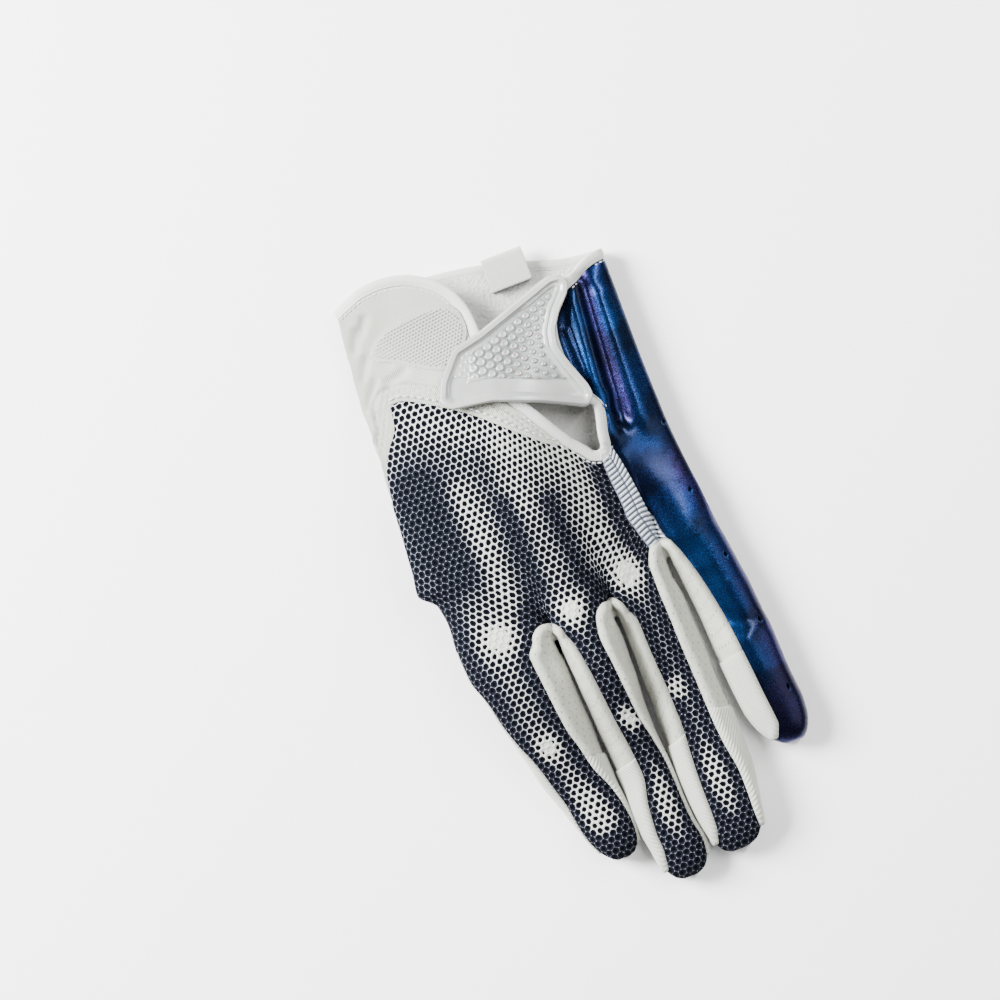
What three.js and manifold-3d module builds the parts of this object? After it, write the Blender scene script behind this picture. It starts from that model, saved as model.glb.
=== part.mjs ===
// Left-hand football receiver glove, lying palm down with its thumb folded under the palm.
// Millimetres. X runs across the hand towards the little finger, the fingers point along -Y, +Z is up.
import * as THREE from "three";
import { mergeVertices } from "three/addons/utils/BufferGeometryUtils.js";
import Module from "manifold-3d";

const wasm = await Module();
wasm.setup();

// Driving sizes
const GLOVE_WIDTH = 100;
const PALM_LENGTH = 100;
const BODY_THICKNESS = 13.4;
const FINGER_THICKNESS = 12.4;
const INDEX_LENGTH = 78;
const MIDDLE_LENGTH = 91;
const RING_LENGTH = 88.5;
const LITTLE_LENGTH = 75;
const INDEX_WIDTH = 30;
const MIDDLE_WIDTH = 20;
const RING_WIDTH = 24;
const LITTLE_WIDTH = 20;
const THUMB_LENGTH = 111;
const THUMB_WIDTH = 32;
const THUMB_THICKNESS = 10.4;
const WALL = 1.2;
const GAP = 0.3;
const BINDING_WIDTH = 2.6;
const BINDING_THICKNESS = 2.2;
const LINING_THICKNESS = 0.8;
const PAD_THICKNESS = 0.8;
const STRAP_THICKNESS = 0.9;
const TAB_THICKNESS = 1.9;
const TAB_RIM_HEIGHT = 0.7;
const RIB_HEIGHT = 0.45;
const RIB_PITCH = 1.6;
const LOOP_THICKNESS = 0.9;
const LOOP_OPENING = 1.4;
const HOLE_LENGTH = 2.6;
const HOLE_WIDTH = 1.3;

// How a worn shape sits on the surface: the contact is pressed flat by this much
const PRESS = 1;
// The palm lies on the folded thumb, so it is raised by the thumb and a little air
const THUMB_AIR = 0.6;
const RAISE = THUMB_THICKNESS + THUMB_AIR;
// Shares along where the palm rises, past the thumb's tip where it falls, and across where it ends
const RAISED = {
  riseFrom: 0.05,
  riseTo: 0.55,
  fallFrom: -0.02,
  fallTo: 0.44,
  sideFrom: -0.09,
  sideTo: 0.22,
};
// Powers of the section: below 1 it is flatter than an ellipse, most of all where it rests
const FLATNESS_ABOVE = 0.75;
const FLATNESS_BELOW = 0.45;
// Smallest half height of a finger's end, so that its two faces meet as a seam
const SEAM_HALF = 0.3;

// Outline of the hand, as shares of the palm length, glove width and body thickness
const BODY = [
  { along: -0.15, left: -0.43, right: 0.412, thick: 0.9 },
  { along: 0, left: -0.44, right: 0.417, thick: 0.94 },
  { along: 0.1, left: -0.452, right: 0.42, thick: 0.97 },
  { along: 0.2, left: -0.462, right: 0.42, thick: 1 },
  { along: 0.4, left: -0.47, right: 0.419, thick: 1 },
  { along: 0.6, left: -0.486, right: 0.42, thick: 1 },
  { along: 0.8, left: -0.502, right: 0.434, thick: 1 },
  { along: 0.875, left: -0.513, right: 0.443, thick: 0.98 },
  { along: 0.93, left: -0.465, right: 0.448, thick: 0.96 },
  { along: 1, left: -0.455, right: 0.455, thick: 0.94 },
  { along: 1.1, left: -0.462, right: 0.467, thick: 0.925 },
  { along: 1.18, left: -0.455, right: 0.48, thick: 0.925 },
];

// Each finger's outline, as shares: out of its length from the fork, its middle of the glove width,
// its width and thickness of its own. The angles, in degrees from its top, end the back panel.
const INDEX_ROWS = [
  { out: 0, middle: -0.312, wide: 0.98, thick: 1, radial: -92, ulnar: 63 },
  { out: 0.04, middle: -0.31, wide: 0.985, thick: 1, radial: -92, ulnar: 38 },
  { out: 0.09, middle: -0.307, wide: 0.985, thick: 1, radial: -92, ulnar: 26 },
  { out: 0.2, middle: -0.291, wide: 0.92, thick: 1, radial: -90, ulnar: 24 },
  { out: 0.3, middle: -0.283, wide: 0.88, thick: 1, radial: -86, ulnar: 25 },
  { out: 0.4, middle: -0.272, wide: 0.84, thick: 1, radial: -73, ulnar: 25 },
  { out: 0.5, middle: -0.261, wide: 0.79, thick: 1, radial: -59, ulnar: 31 },
  { out: 0.6, middle: -0.251, wide: 0.75, thick: 1, radial: -53, ulnar: 37 },
  { out: 0.7, middle: -0.236, wide: 0.68, thick: 0.99, radial: -55, ulnar: 54 },
  { out: 0.8, middle: -0.223, wide: 0.61, thick: 0.97, radial: -66, ulnar: 70 },
  { out: 0.88, middle: -0.212, wide: 0.54, thick: 0.9, radial: -80, ulnar: 80 },
  { out: 0.94, middle: -0.204, wide: 0.44, thick: 0.76, radial: -84, ulnar: 84 },
  { out: 0.98, middle: -0.2, wide: 0.28, thick: 0.46, radial: -90, ulnar: 90 },
  { out: 1, middle: -0.202, wide: 0.15, thick: 0.06, radial: -90, ulnar: 90 },
];
const MIDDLE_ROWS = [
  { out: 0, middle: -0.055, wide: 0.995, thick: 1, radial: -66, ulnar: 40 },
  { out: 0.04, middle: -0.055, wide: 0.995, thick: 1, radial: -50, ulnar: 28 },
  { out: 0.1, middle: -0.055, wide: 0.99, thick: 1, radial: -36, ulnar: 23 },
  { out: 0.2, middle: -0.053, wide: 0.96, thick: 1, radial: -29, ulnar: 28 },
  { out: 0.3, middle: -0.051, wide: 0.93, thick: 1, radial: -25, ulnar: 33 },
  { out: 0.4, middle: -0.049, wide: 0.9, thick: 1, radial: -21, ulnar: 39 },
  { out: 0.5, middle: -0.047, wide: 0.87, thick: 1, radial: -15, ulnar: 55 },
  { out: 0.6, middle: -0.045, wide: 0.855, thick: 1, radial: -12, ulnar: 70 },
  { out: 0.7, middle: -0.044, wide: 0.85, thick: 0.99, radial: -25, ulnar: 79 },
  { out: 0.8, middle: -0.04, wide: 0.855, thick: 0.97, radial: -34, ulnar: 80 },
  { out: 0.88, middle: -0.028, wide: 0.855, thick: 0.9, radial: -42, ulnar: 82 },
  { out: 0.94, middle: -0.024, wide: 0.76, thick: 0.76, radial: -60, ulnar: 84 },
  { out: 0.98, middle: -0.023, wide: 0.52, thick: 0.46, radial: -90, ulnar: 90 },
  { out: 1, middle: -0.025, wide: 0.25, thick: 0.06, radial: -90, ulnar: 90 },
];
const RING_ROWS = [
  { out: 0, middle: 0.159, wide: 0.89, thick: 1, radial: -66, ulnar: 29 },
  { out: 0.04, middle: 0.162, wide: 0.92, thick: 1, radial: -50, ulnar: 26 },
  { out: 0.1, middle: 0.165, wide: 0.94, thick: 1, radial: -36, ulnar: 25 },
  { out: 0.2, middle: 0.166, wide: 0.955, thick: 1, radial: -35, ulnar: 25 },
  { out: 0.4, middle: 0.167, wide: 0.975, thick: 1, radial: -30, ulnar: 27 },
  { out: 0.5, middle: 0.169, wide: 0.99, thick: 1, radial: -30, ulnar: 27 },
  { out: 0.6, middle: 0.169, wide: 1, thick: 1, radial: -33, ulnar: 30 },
  { out: 0.7, middle: 0.169, wide: 0.99, thick: 0.99, radial: -36, ulnar: 38 },
  { out: 0.8, middle: 0.166, wide: 0.93, thick: 0.97, radial: -37, ulnar: 45 },
  { out: 0.88, middle: 0.164, wide: 0.83, thick: 0.9, radial: -42, ulnar: 52 },
  { out: 0.94, middle: 0.163, wide: 0.71, thick: 0.76, radial: -60, ulnar: 66 },
  { out: 0.98, middle: 0.158, wide: 0.48, thick: 0.46, radial: -90, ulnar: 90 },
  { out: 1, middle: 0.15, wide: 0.21, thick: 0.06, radial: -90, ulnar: 90 },
];
const LITTLE_ROWS = [
  { out: 0, middle: 0.359, wide: 0.935, thick: 1, radial: -50, ulnar: 90 },
  { out: 0.04, middle: 0.362, wide: 0.955, thick: 1, radial: -42, ulnar: 90 },
  { out: 0.1, middle: 0.367, wide: 0.97, thick: 1, radial: -34, ulnar: 90 },
  { out: 0.2, middle: 0.377, wide: 0.97, thick: 1, radial: -27, ulnar: 90 },
  { out: 0.3, middle: 0.385, wide: 0.985, thick: 1, radial: -22, ulnar: 90 },
  { out: 0.4, middle: 0.391, wide: 0.99, thick: 1, radial: -18, ulnar: 90 },
  { out: 0.5, middle: 0.398, wide: 1, thick: 1, radial: -17, ulnar: 90 },
  { out: 0.7, middle: 0.406, wide: 0.97, thick: 0.99, radial: -14, ulnar: 90 },
  { out: 0.8, middle: 0.413, wide: 0.965, thick: 0.97, radial: -14, ulnar: 90 },
  { out: 0.88, middle: 0.421, wide: 0.87, thick: 0.9, radial: -17, ulnar: 90 },
  { out: 0.94, middle: 0.428, wide: 0.68, thick: 0.76, radial: -40, ulnar: 90 },
  { out: 0.98, middle: 0.435, wide: 0.41, thick: 0.46, radial: -90, ulnar: 90 },
  { out: 1, middle: 0.44, wide: 0.15, thick: 0.06, radial: -90, ulnar: 90 },
];

// The thumb, from its root inside the palm to its tip: up is the height of its middle,
// a share of the thumb's thickness
const THUMB_START = 0.14;
const THUMB_ROWS = [
  { out: 0, middle: -0.31, up: 0.68, wide: 0.72, thick: 0.8 },
  { out: 0.09, middle: -0.318, up: 0.68, wide: 0.84, thick: 0.9 },
  { out: 0.21, middle: -0.32, up: 0.62, wide: 0.92, thick: 0.96 },
  { out: 0.34, middle: -0.32, up: 0.53, wide: 0.94, thick: 1 },
  { out: 0.46, middle: -0.313, up: 0.43, wide: 0.94, thick: 1 },
  { out: 0.6, middle: -0.29, up: 0.42, wide: 0.92, thick: 1 },
  { out: 0.76, middle: -0.26, up: 0.42, wide: 0.88, thick: 0.98 },
  { out: 0.87, middle: -0.24, up: 0.42, wide: 0.78, thick: 0.92 },
  { out: 0.94, middle: -0.228, up: 0.42, wide: 0.58, thick: 0.76 },
  { out: 0.98, middle: -0.224, up: 0.42, wide: 0.34, thick: 0.46 },
  { out: 1, middle: -0.224, up: 0.42, wide: 0.15, thick: 0.06 },
];

// Folds and dents of the back, from one end to the other: height of the fold as a share of
// the wall, its reach to each side as a share of the glove width
const FOLDS = [
  { across: 0.285, along: 0.12, toAcross: 0.235, toAlong: 0.62, height: 1.3, reach: 0.026 },
  { across: 0.325, along: 0.12, toAcross: 0.29, toAlong: 0.58, height: -1.5, reach: 0.024 },
  { across: 0.37, along: 0.14, toAcross: 0.36, toAlong: 0.62, height: 0.7, reach: 0.024 },
  { across: -0.44, along: 0.87, toAcross: -0.33, toAlong: 0.92, height: 0.8, reach: 0.03 },
  { across: 0.34, along: 1.06, toAcross: 0.385, toAlong: 1.3, height: -1.4, reach: 0.035 },
];

// Free edge of the cloth at the slit and cuff, where the binding is sewn on
const SLIT_BOTTOM = [
  { across: 0.132, along: 0.642 },
  { across: 0.152, along: 0.668 },
  { across: 0.182, along: 0.68 },
  { across: 0.21, along: 0.669 },
  { across: 0.224, along: 0.642 },
];
const SLIT_LEFT = [
  { across: 0.132, along: 0.642 },
  { across: 0.094, along: 0.6 },
  { across: 0.05, along: 0.53 },
  { across: 0.012, along: 0.468 },
  { across: -0.026, along: 0.41 },
  { across: -0.05, along: 0.34 },
  { across: -0.06, along: 0.25 },
  { across: -0.062, along: 0.16 },
  { across: -0.068, along: 0.09 },
  { across: -0.09, along: 0.032 },
  { across: -0.13, along: -0.015 },
  { across: -0.19, along: -0.054 },
  { across: -0.26, along: -0.072 },
  { across: -0.34, along: -0.07 },
  { across: -0.4, along: -0.05 },
  { across: -0.435, along: -0.036 },
];
const CUFF_BELOW = [
  { across: -0.41, along: -0.03 },
  { across: -0.31, along: -0.035 },
  { across: -0.2, along: -0.036 },
  { across: -0.1, along: -0.03 },
  { across: 0, along: -0.016 },
  { across: 0.1, along: 0.008 },
  { across: 0.2, along: 0.038 },
  { across: 0.28, along: 0.063 },
  { across: 0.35, along: 0.075 },
  { across: 0.4, along: 0.08 },
];
const SLIT_RIGHT = [
  { across: 0.4, along: 0.086 },
  { across: 0.36, along: 0.096 },
  { across: 0.31, along: 0.122 },
  { across: 0.26, along: 0.147 },
  { across: 0.222, along: 0.188 },
  { across: 0.196, along: 0.24 },
  { across: 0.186, along: 0.31 },
  { across: 0.192, along: 0.38 },
  { across: 0.208, along: 0.44 },
  { across: 0.232, along: 0.486 },
  { across: 0.246, along: 0.515 },
  { across: 0.24, along: 0.56 },
  { across: 0.229, along: 0.605 },
  { across: 0.224, along: 0.642 },
];

// Seams of the back panel
const BAND_END = { across: 0.086, along: 0.612 };
const BACK_TOP = [
  { across: -0.38, along: 0.285 },
  { across: -0.34, along: 0.285 },
  { across: -0.25, along: 0.335 },
  { across: -0.15, along: 0.405 },
  { across: -0.04, along: 0.505 },
  { across: 0.05, along: 0.58 },
  BAND_END,
];
const BACK_SIDE = [
  { across: -0.38, along: 0.285 },
  { across: -0.395, along: 0.36 },
  { across: -0.43, along: 0.41 },
  { across: -0.46, along: 0.46 },
  { across: -0.477, along: 0.52 },
];
const BACK_RIGHT = [
  { across: 0.182, along: 0.68 },
  { across: 0.185, along: 0.75 },
  { across: 0.192, along: 0.84 },
  { across: 0.205, along: 0.93 },
  { across: 0.226, along: 1.003 },
];
const WRAP_LEFT = [
  { across: 0.224, along: 0.642 },
  { across: 0.238, along: 0.7 },
  { across: 0.252, along: 0.79 },
  { across: 0.265, along: 0.89 },
  { across: 0.278, along: 0.96 },
  { across: 0.293, along: 1.004 },
];
// Body angle, in degrees, where the back panel and the palm meet under the thumb side
const SIDE_SEAM = -100;
const SIDE_SEAM_START = 0.7;
const SIDE_SEAM_END = 1.08;
// Body angle where the wrist panel ends on the palm side at the cuff
const WRIST_SEAM = -135;
const WRIST_SEAM_CUFF = -0.034;

// Forks: on the back, at half height and on the palm side
const FORKS = [
  { back: [-0.18, 1.11], crotch: [-0.156, 1.16], palm: [-0.156, 1.13] },
  { back: [0.045, 1.11], crotch: [0.046, 1.16], palm: [0.047, 1.13] },
  { back: [0.26, 0.99], crotch: [0.269, 1.05], palm: [0.27, 1.02] },
];
// Finger angle where the palm panel ends on each side
const PALM_EDGE = 125;
// Rows of every finger, as shares of the way from its fork to its tip
const FINGER_STEPS = [0, 0.04, 0.09, 0.18, 0.3, 0.42, 0.54, 0.66, 0.78, 0.87, 0.94, 0.98, 1];
const GUSSET_STEPS = 6;
const STRIP_STEPS = 10;

// Outlines of the pieces on the back of the cuff
const TAB_TOP = [
  { across: -0.13, along: 0.195 },
  { across: -0.05, along: 0.178 },
  { across: 0.1, along: 0.132 },
  { across: 0.225, along: 0.092 },
];
const TAB_BOTTOM = [
  { across: -0.21, along: 0.35 },
  { across: -0.1, along: 0.385 },
  { across: 0.05, along: 0.43 },
  { across: 0.193, along: 0.502 },
];
const TAB_LEFT = [
  { across: -0.13, along: 0.195 },
  { across: -0.17, along: 0.265 },
  { across: -0.21, along: 0.35 },
];
const TAB_RIGHT = [
  { across: 0.225, along: 0.092 },
  { across: 0.235, along: 0.16 },
  { across: 0.175, along: 0.25 },
  { across: 0.167, along: 0.32 },
  { across: 0.2, along: 0.43 },
  { across: 0.193, along: 0.502 },
];
const PAD_TOP = [
  { across: -0.37, along: 0.09 },
  { across: -0.3, along: 0.05 },
  { across: -0.2, along: 0.035 },
  { across: -0.1, along: 0.05 },
];
const PAD_BOTTOM = [
  { across: -0.37, along: 0.13 },
  { across: -0.32, along: 0.155 },
  { across: -0.24, along: 0.205 },
  { across: -0.15, along: 0.24 },
];
const STRAP = { left: 0.204, right: 0.236, top: 0.25, bottom: 0.43 };

// Diamond-shaped holes: on the thumb's back, and along the little-finger edge
const THUMB_HOLES = [
  { angle: 146, from: 0.36, count: 5 },
  { angle: 180, from: 0.41, count: 5 },
  { angle: 214, from: 0.36, count: 4 },
];
const HOLE_PITCH = 11.6;
const EDGE_HOLES = [
  { across: 0.41, along: 0.64 },
  { across: 0.41, along: 0.87 },
  { across: 0.44, along: 1.1 },
];

const across = (share) => share * GLOVE_WIDTH;
const along = (share) => share * PALM_LENGTH;
const lerp = THREE.MathUtils.lerp;
const smoothstep = THREE.MathUtils.smoothstep;
const radians = THREE.MathUtils.degToRad;
const degrees = THREE.MathUtils.radToDeg;

// Reads one column of a table at any place between its rows, along a smooth curve that
// keeps to the rows' own values
function column(rows, place, value) {
  const x = rows.map((row) => row[place]);
  const y = rows.map((row) => row[value]);
  const secant = x.slice(1).map((v, i) => (y[i + 1] - y[i]) / (v - x[i]));
  const slope = x.map((v, i) => {
    if (i === 0) return secant[0];
    if (i === x.length - 1) return secant[i - 1];
    if (secant[i - 1] * secant[i] <= 0) return 0;
    return (2 * secant[i - 1] * secant[i]) / (secant[i - 1] + secant[i]);
  });
  return (at) => {
    if (at <= x[0]) return y[0];
    if (at >= x[x.length - 1]) return y[y.length - 1];
    let i = 0;
    while (at > x[i + 1]) i++;
    const h = x[i + 1] - x[i];
    const f = (at - x[i]) / h;
    const blend = f * f * (3 - 2 * f);
    const bend = f * (1 - f) * ((1 - f) * slope[i] - f * slope[i + 1]) * h;
    return lerp(y[i], y[i + 1], blend) + bend;
  };
}

// A table's columns, each as a function of its place
function columns(rows, place, names) {
  return Object.fromEntries(names.map((name) => [name, column(rows, place, name)]));
}

const body = columns(BODY, "along", ["left", "right", "thick"]);
const fingerColumns = ["middle", "wide", "thick", "radial", "ulnar"];

function makeFinger(rows, length, width, fork) {
  return { ...columns(rows, "out", fingerColumns), length, width, fork: along(fork) };
}

const index = makeFinger(INDEX_ROWS, INDEX_LENGTH, INDEX_WIDTH, FORKS[0].back[1]);
const middle = makeFinger(MIDDLE_ROWS, MIDDLE_LENGTH, MIDDLE_WIDTH, FORKS[0].back[1]);
const ring = makeFinger(RING_ROWS, RING_LENGTH, RING_WIDTH, FORKS[1].back[1]);
const little = makeFinger(LITTLE_ROWS, LITTLE_LENGTH, LITTLE_WIDTH, FORKS[2].back[1]);
const fingers = [index, middle, ring, little];
const thumb = columns(THUMB_ROWS, "out", ["middle", "up", "wide", "thick"]);

// How far the palm is raised where it lies on the folded thumb
function raise(s, t) {
  const rise = smoothstep(t, along(RAISED.riseFrom), along(RAISED.riseTo));
  const thumbTip = along(THUMB_START) + THUMB_LENGTH;
  const fallFrom = thumbTip + along(RAISED.fallFrom);
  const fall = 1 - smoothstep(t, fallFrom, thumbTip + along(RAISED.fallTo));
  const side = 1 - smoothstep(s, across(RAISED.sideFrom), across(RAISED.sideTo));
  return RAISE * rise * fall * side;
}

// Height that the folds add to the back at a place
function foldHeight(s, t) {
  let total = 0;
  for (const fold of FOLDS) {
    const a = new THREE.Vector2(across(fold.across), along(fold.along));
    const b = new THREE.Vector2(across(fold.toAcross), along(fold.toAlong));
    const way = b.clone().sub(a);
    const from = new THREE.Vector2(s, t).sub(a);
    const share = from.dot(way) / way.lengthSq();
    const off = from.sub(way.clone().multiplyScalar(THREE.MathUtils.clamp(share, 0, 1)));
    total += fold.height * WALL * Math.exp(-off.lengthSq() / across(fold.reach) ** 2);
  }
  return total;
}

// Height of a section at an angle from its top, from 1 on the back to -1 below
function level(angle) {
  const height = Math.cos(radians(angle));
  return height > 0 ? height ** FLATNESS_ABOVE : -(Math.abs(height) ** FLATNESS_BELOW);
}

// A point of the glove: the back's folds, the raised palm and the flattened rest are added here
function place(s, t, z, onBack, depth) {
  const folded = onBack > 0 ? onBack * foldHeight(s, t) : 0;
  return new THREE.Vector3(s, -t, Math.max(z + folded + raise(s, t), depth));
}

// A point of a finger's skin, by its angle from the top and its place along the hand
function fingerPoint(finger, angle, t, depth) {
  const out = THREE.MathUtils.clamp((t - finger.fork) / finger.length, 0, 1);
  const half = (finger.wide(out) * finger.width) / 2 - depth;
  const high = Math.max((finger.thick(out) * FINGER_THICKNESS) / 2 - depth, SEAM_HALF);
  const s = across(finger.middle(out)) + half * Math.sin(radians(angle));
  const up = level(angle);
  const tip = t - depth * smoothstep(out, 0.86, 1);
  const z = FINGER_THICKNESS / 2 - PRESS + high * up;
  return place(s, tip, z, Math.max(up, 0), depth);
}

// Half height of the nearest finger's section at a place near the forks
function fingerHeight(s, t, depth, flatness) {
  let high = 0;
  for (const finger of fingers) {
    const out = THREE.MathUtils.clamp((t - finger.fork) / finger.length, 0, 1);
    const half = (finger.wide(out) * finger.width) / 2 - depth;
    const share = (s - across(finger.middle(out))) / half;
    if (Math.abs(share) >= 1) continue;
    const rise = (1 - share * share) ** (flatness / 2);
    high = Math.max(high, ((finger.thick(out) * FINGER_THICKNESS) / 2 - depth) * rise);
  }
  return high;
}

// A point of the hand's skin: 0 degrees is the back, 90 the little-finger edge, -90 the thumb edge
function bodyPoint(angle, t, depth) {
  const share = t / PALM_LENGTH;
  const left = across(body.left(share));
  const right = across(body.right(share));
  const full = (body.thick(share) * BODY_THICKNESS) / 2;
  const s = (left + right) / 2 + ((right - left) / 2 - depth) * Math.sin(radians(angle));
  const up = level(angle);
  const flatness = up > 0 ? FLATNESS_ABOVE : FLATNESS_BELOW;
  const fork = lerp(index.fork, little.fork, smoothstep(s, across(0.2), across(0.3)));
  const nearFork = smoothstep(t, fork - along(0.32), fork);
  const slope = Math.abs(up) * (full - depth);
  const high = lerp(slope, fingerHeight(s, t, depth, flatness), nearFork);
  const centre = lerp(full, FINGER_THICKNESS / 2, nearFork) - PRESS;
  return place(s, t, centre + Math.sign(up) * high, Math.max(up, 0), depth);
}

// Body angle of a place seen from above, on the back or, with onPalm, on the palm side
function bodyAngle(s, t, onPalm) {
  const share = t / PALM_LENGTH;
  const left = across(body.left(share));
  const right = across(body.right(share));
  const ratio = (s - (left + right) / 2) / ((right - left) / 2);
  const angle = degrees(Math.asin(THREE.MathUtils.clamp(ratio, -1, 1)));
  return onPalm ? 180 - angle : angle;
}

function thumbPoint(angle, out, depth) {
  const half = (thumb.wide(out) * THUMB_WIDTH) / 2 - depth;
  const high = Math.max((thumb.thick(out) * THUMB_THICKNESS) / 2 - depth, SEAM_HALF);
  const s = across(thumb.middle(out)) + half * Math.sin(radians(angle));
  const t = along(THUMB_START) + out * THUMB_LENGTH - depth * smoothstep(out, 0.86, 1);
  const z = thumb.up(out) * THUMB_THICKNESS + high * level(angle);
  return new THREE.Vector3(s, -t, Math.max(z, depth));
}

// A panel is a set of points, each with an outer and an inner place, and the faces between them
class Panel {
  constructor() {
    this.points = [];
    this.faces = [];
    this.known = new Map();
  }

  add(outer, inner) {
    const key = [outer.x, outer.y, outer.z].map((v) => Math.round(v * 1000)).join();
    if (!this.known.has(key)) {
      this.known.set(key, this.points.length);
      this.points.push({ outer, inner });
    }
    return this.known.get(key);
  }

  // Faces between rows of points
  rows(grid) {
    for (let j = 0; j + 1 < grid.length; j++) {
      for (let i = 0; i + 1 < grid[j].length; i++) {
        this.face([grid[j][i], grid[j][i + 1], grid[j + 1][i + 1], grid[j + 1][i]]);
      }
    }
    return this;
  }

  face(corners) {
    const ring = corners.filter((c, i) => c !== corners[(i + 1) % corners.length]);
    if (ring.length < 3) return;
    this.faces.push([ring[0], ring[1], ring[2]]);
    if (ring.length === 4) this.faces.push([ring[0], ring[2], ring[3]]);
  }

  boundary() {
    const open = new Map();
    for (const [a, b, c] of this.faces) {
      for (const [from, to] of [[a, b], [b, c], [c, a]]) {
        if (open.has(to + "," + from)) open.delete(to + "," + from);
        else open.set(from + "," + to, [from, to]);
      }
    }
    return [...open.values()];
  }

  // Draws the edge back by half the gap, so that two panels on one seam stay apart
  trim(amount) {
    const normals = this.points.map(() => new THREE.Vector3());
    for (const face of this.faces) {
      const [a, b, c] = face.map((i) => this.points[i].outer);
      const normal = b.clone().sub(a).cross(c.clone().sub(a));
      for (const i of face) normals[i].add(normal);
    }
    const ways = new Map();
    for (const [from, to] of this.boundary()) {
      const way = this.points[to].outer.clone().sub(this.points[from].outer).normalize();
      for (const i of [from, to]) {
        if (!ways.has(i)) ways.set(i, new THREE.Vector3());
        ways.get(i).add(way);
      }
    }
    for (const [i, way] of ways) {
      const inward = normals[i].clone().cross(way).setLength(amount);
      this.points[i].outer.add(inward);
      this.points[i].inner.add(inward);
      this.points[i].outer.z = Math.max(this.points[i].outer.z, 0);
    }
    return this;
  }

  // The closed solid between the outer and the inner skin
  solid() {
    const count = this.points.length;
    const places = [
      ...this.points.map((p) => p.outer),
      ...this.points.map((p) => p.inner),
    ].flatMap((p) => [p.x, p.y, p.z]);
    const triangles = [];
    for (const [a, b, c] of this.faces) {
      triangles.push(a, b, c, a + count, c + count, b + count);
    }
    for (const [from, to] of this.boundary()) {
      triangles.push(to, from, from + count, to, from + count, to + count);
    }
    return closed(places, triangles);
  }
}

// An indexed geometry whose faces look outwards
function closed(places, triangles) {
  const geometry = new THREE.BufferGeometry();
  geometry.setAttribute("position", new THREE.Float32BufferAttribute(places, 3));
  let volume = 0;
  const corner = [0, 1, 2].map(() => new THREE.Vector3());
  for (let i = 0; i < triangles.length; i += 3) {
    corner.forEach((v, k) => v.fromArray(places, triangles[i + k] * 3));
    volume += corner[0].dot(corner[1].clone().cross(corner[2]));
  }
  if (volume < 0) {
    for (let i = 0; i < triangles.length; i += 3) {
      [triangles[i + 1], triangles[i + 2]] = [triangles[i + 2], triangles[i + 1]];
    }
  }
  geometry.setIndex(triangles);
  return geometry;
}

function toManifold(geometry) {
  const merged = mergeVertices(geometry, 1e-4);
  return new wasm.Manifold(
    new wasm.Mesh({
      numProp: 3,
      vertProperties: merged.getAttribute("position").array,
      triVerts: new Uint32Array(merged.index.array),
    }),
  );
}

// The largest body of a cut shape: crumbs that a cut leaves at an edge are dropped
function fromManifold(shape) {
  const bodies = shape.decompose();
  const largest = bodies.reduce((a, b) => (a.volume() > b.volume() ? a : b));
  const mesh = largest.getMesh();
  const geometry = new THREE.BufferGeometry();
  geometry.setAttribute("position", new THREE.Float32BufferAttribute(mesh.vertProperties, 3));
  geometry.setIndex(Array.from(mesh.triVerts));
  return geometry;
}

// Points of a curve on the body as [angle, place along], evenly spaced. Two panels on one
// seam take their points from one curve, so that their straight edges lie side by side
function curve(points, steps) {
  const scale = GLOVE_WIDTH / 2;
  const knots = points.map(([angle, t]) => new THREE.Vector3(radians(angle) * scale, t, 0));
  const line = new THREE.CatmullRomCurve3(knots, false, "centripetal");
  return line.getSpacedPoints(steps).map((p) => [degrees(p.x / scale), p.y]);
}

// Joins curves that follow each other, without the doubled points
function chain(...curves) {
  return curves.flatMap((points, i) => (i ? points.slice(1) : points));
}

function turned(points, angle) {
  return points.map(([a, t]) => [a + angle, t]);
}

function reversed(points) {
  return [...points].reverse();
}

// Turns places seen from above into body angles
function onBody(points, onPalm) {
  return points.map((p) => {
    const t = along(p.along);
    return [bodyAngle(across(p.across), t, onPalm), t];
  });
}

// A patch between four edges that share their corners
function patch(top, bottom, left, right) {
  const columnsCount = top.length - 1;
  const rowsCount = left.length - 1;
  const grid = [];
  for (let j = 0; j <= rowsCount; j++) {
    const v = j / rowsCount;
    const row = [];
    for (let i = 0; i <= columnsCount; i++) {
      const u = i / columnsCount;
      row.push(
        [0, 1].map((k) => {
          const sides = lerp(top[i][k], bottom[i][k], v) + lerp(left[j][k], right[j][k], u);
          const upper = lerp(top[0][k], top[columnsCount][k], u);
          const lower = lerp(bottom[0][k], bottom[columnsCount][k], u);
          return sides - lerp(upper, lower, v);
        }),
      );
    }
    grid.push(row);
  }
  return grid;
}

function addBodyGrid(panel, grid, outer = 0, inner = WALL) {
  return grid.map((row) =>
    row.map(([angle, t]) => panel.add(bodyPoint(angle, t, outer), bodyPoint(angle, t, inner))),
  );
}

// Angles of a finger's edges on the back and on the palm side, by the step along it
function backEdge(finger, side, t) {
  const out = (t - finger.fork) / finger.length;
  return side < 0 ? finger.radial(out) : finger.ulnar(out);
}

function palmEdge(step) {
  const last = FINGER_STEPS[STRIP_STEPS];
  if (step > last) return 90;
  return lerp(PALM_EDGE, 96, smoothstep(step, 0.8, last));
}

function tipOf(finger) {
  return finger.fork + finger.length;
}

// Place along the hand of a step, between where the edge starts and the tip. Past the strips
// both faces share their places, so that they meet along the tip's seam
function stepPlace(finger, start, step) {
  const from = step > STRIP_STEPS ? finger.fork : start;
  return lerp(from, tipOf(finger), FINGER_STEPS[step]);
}

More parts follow.
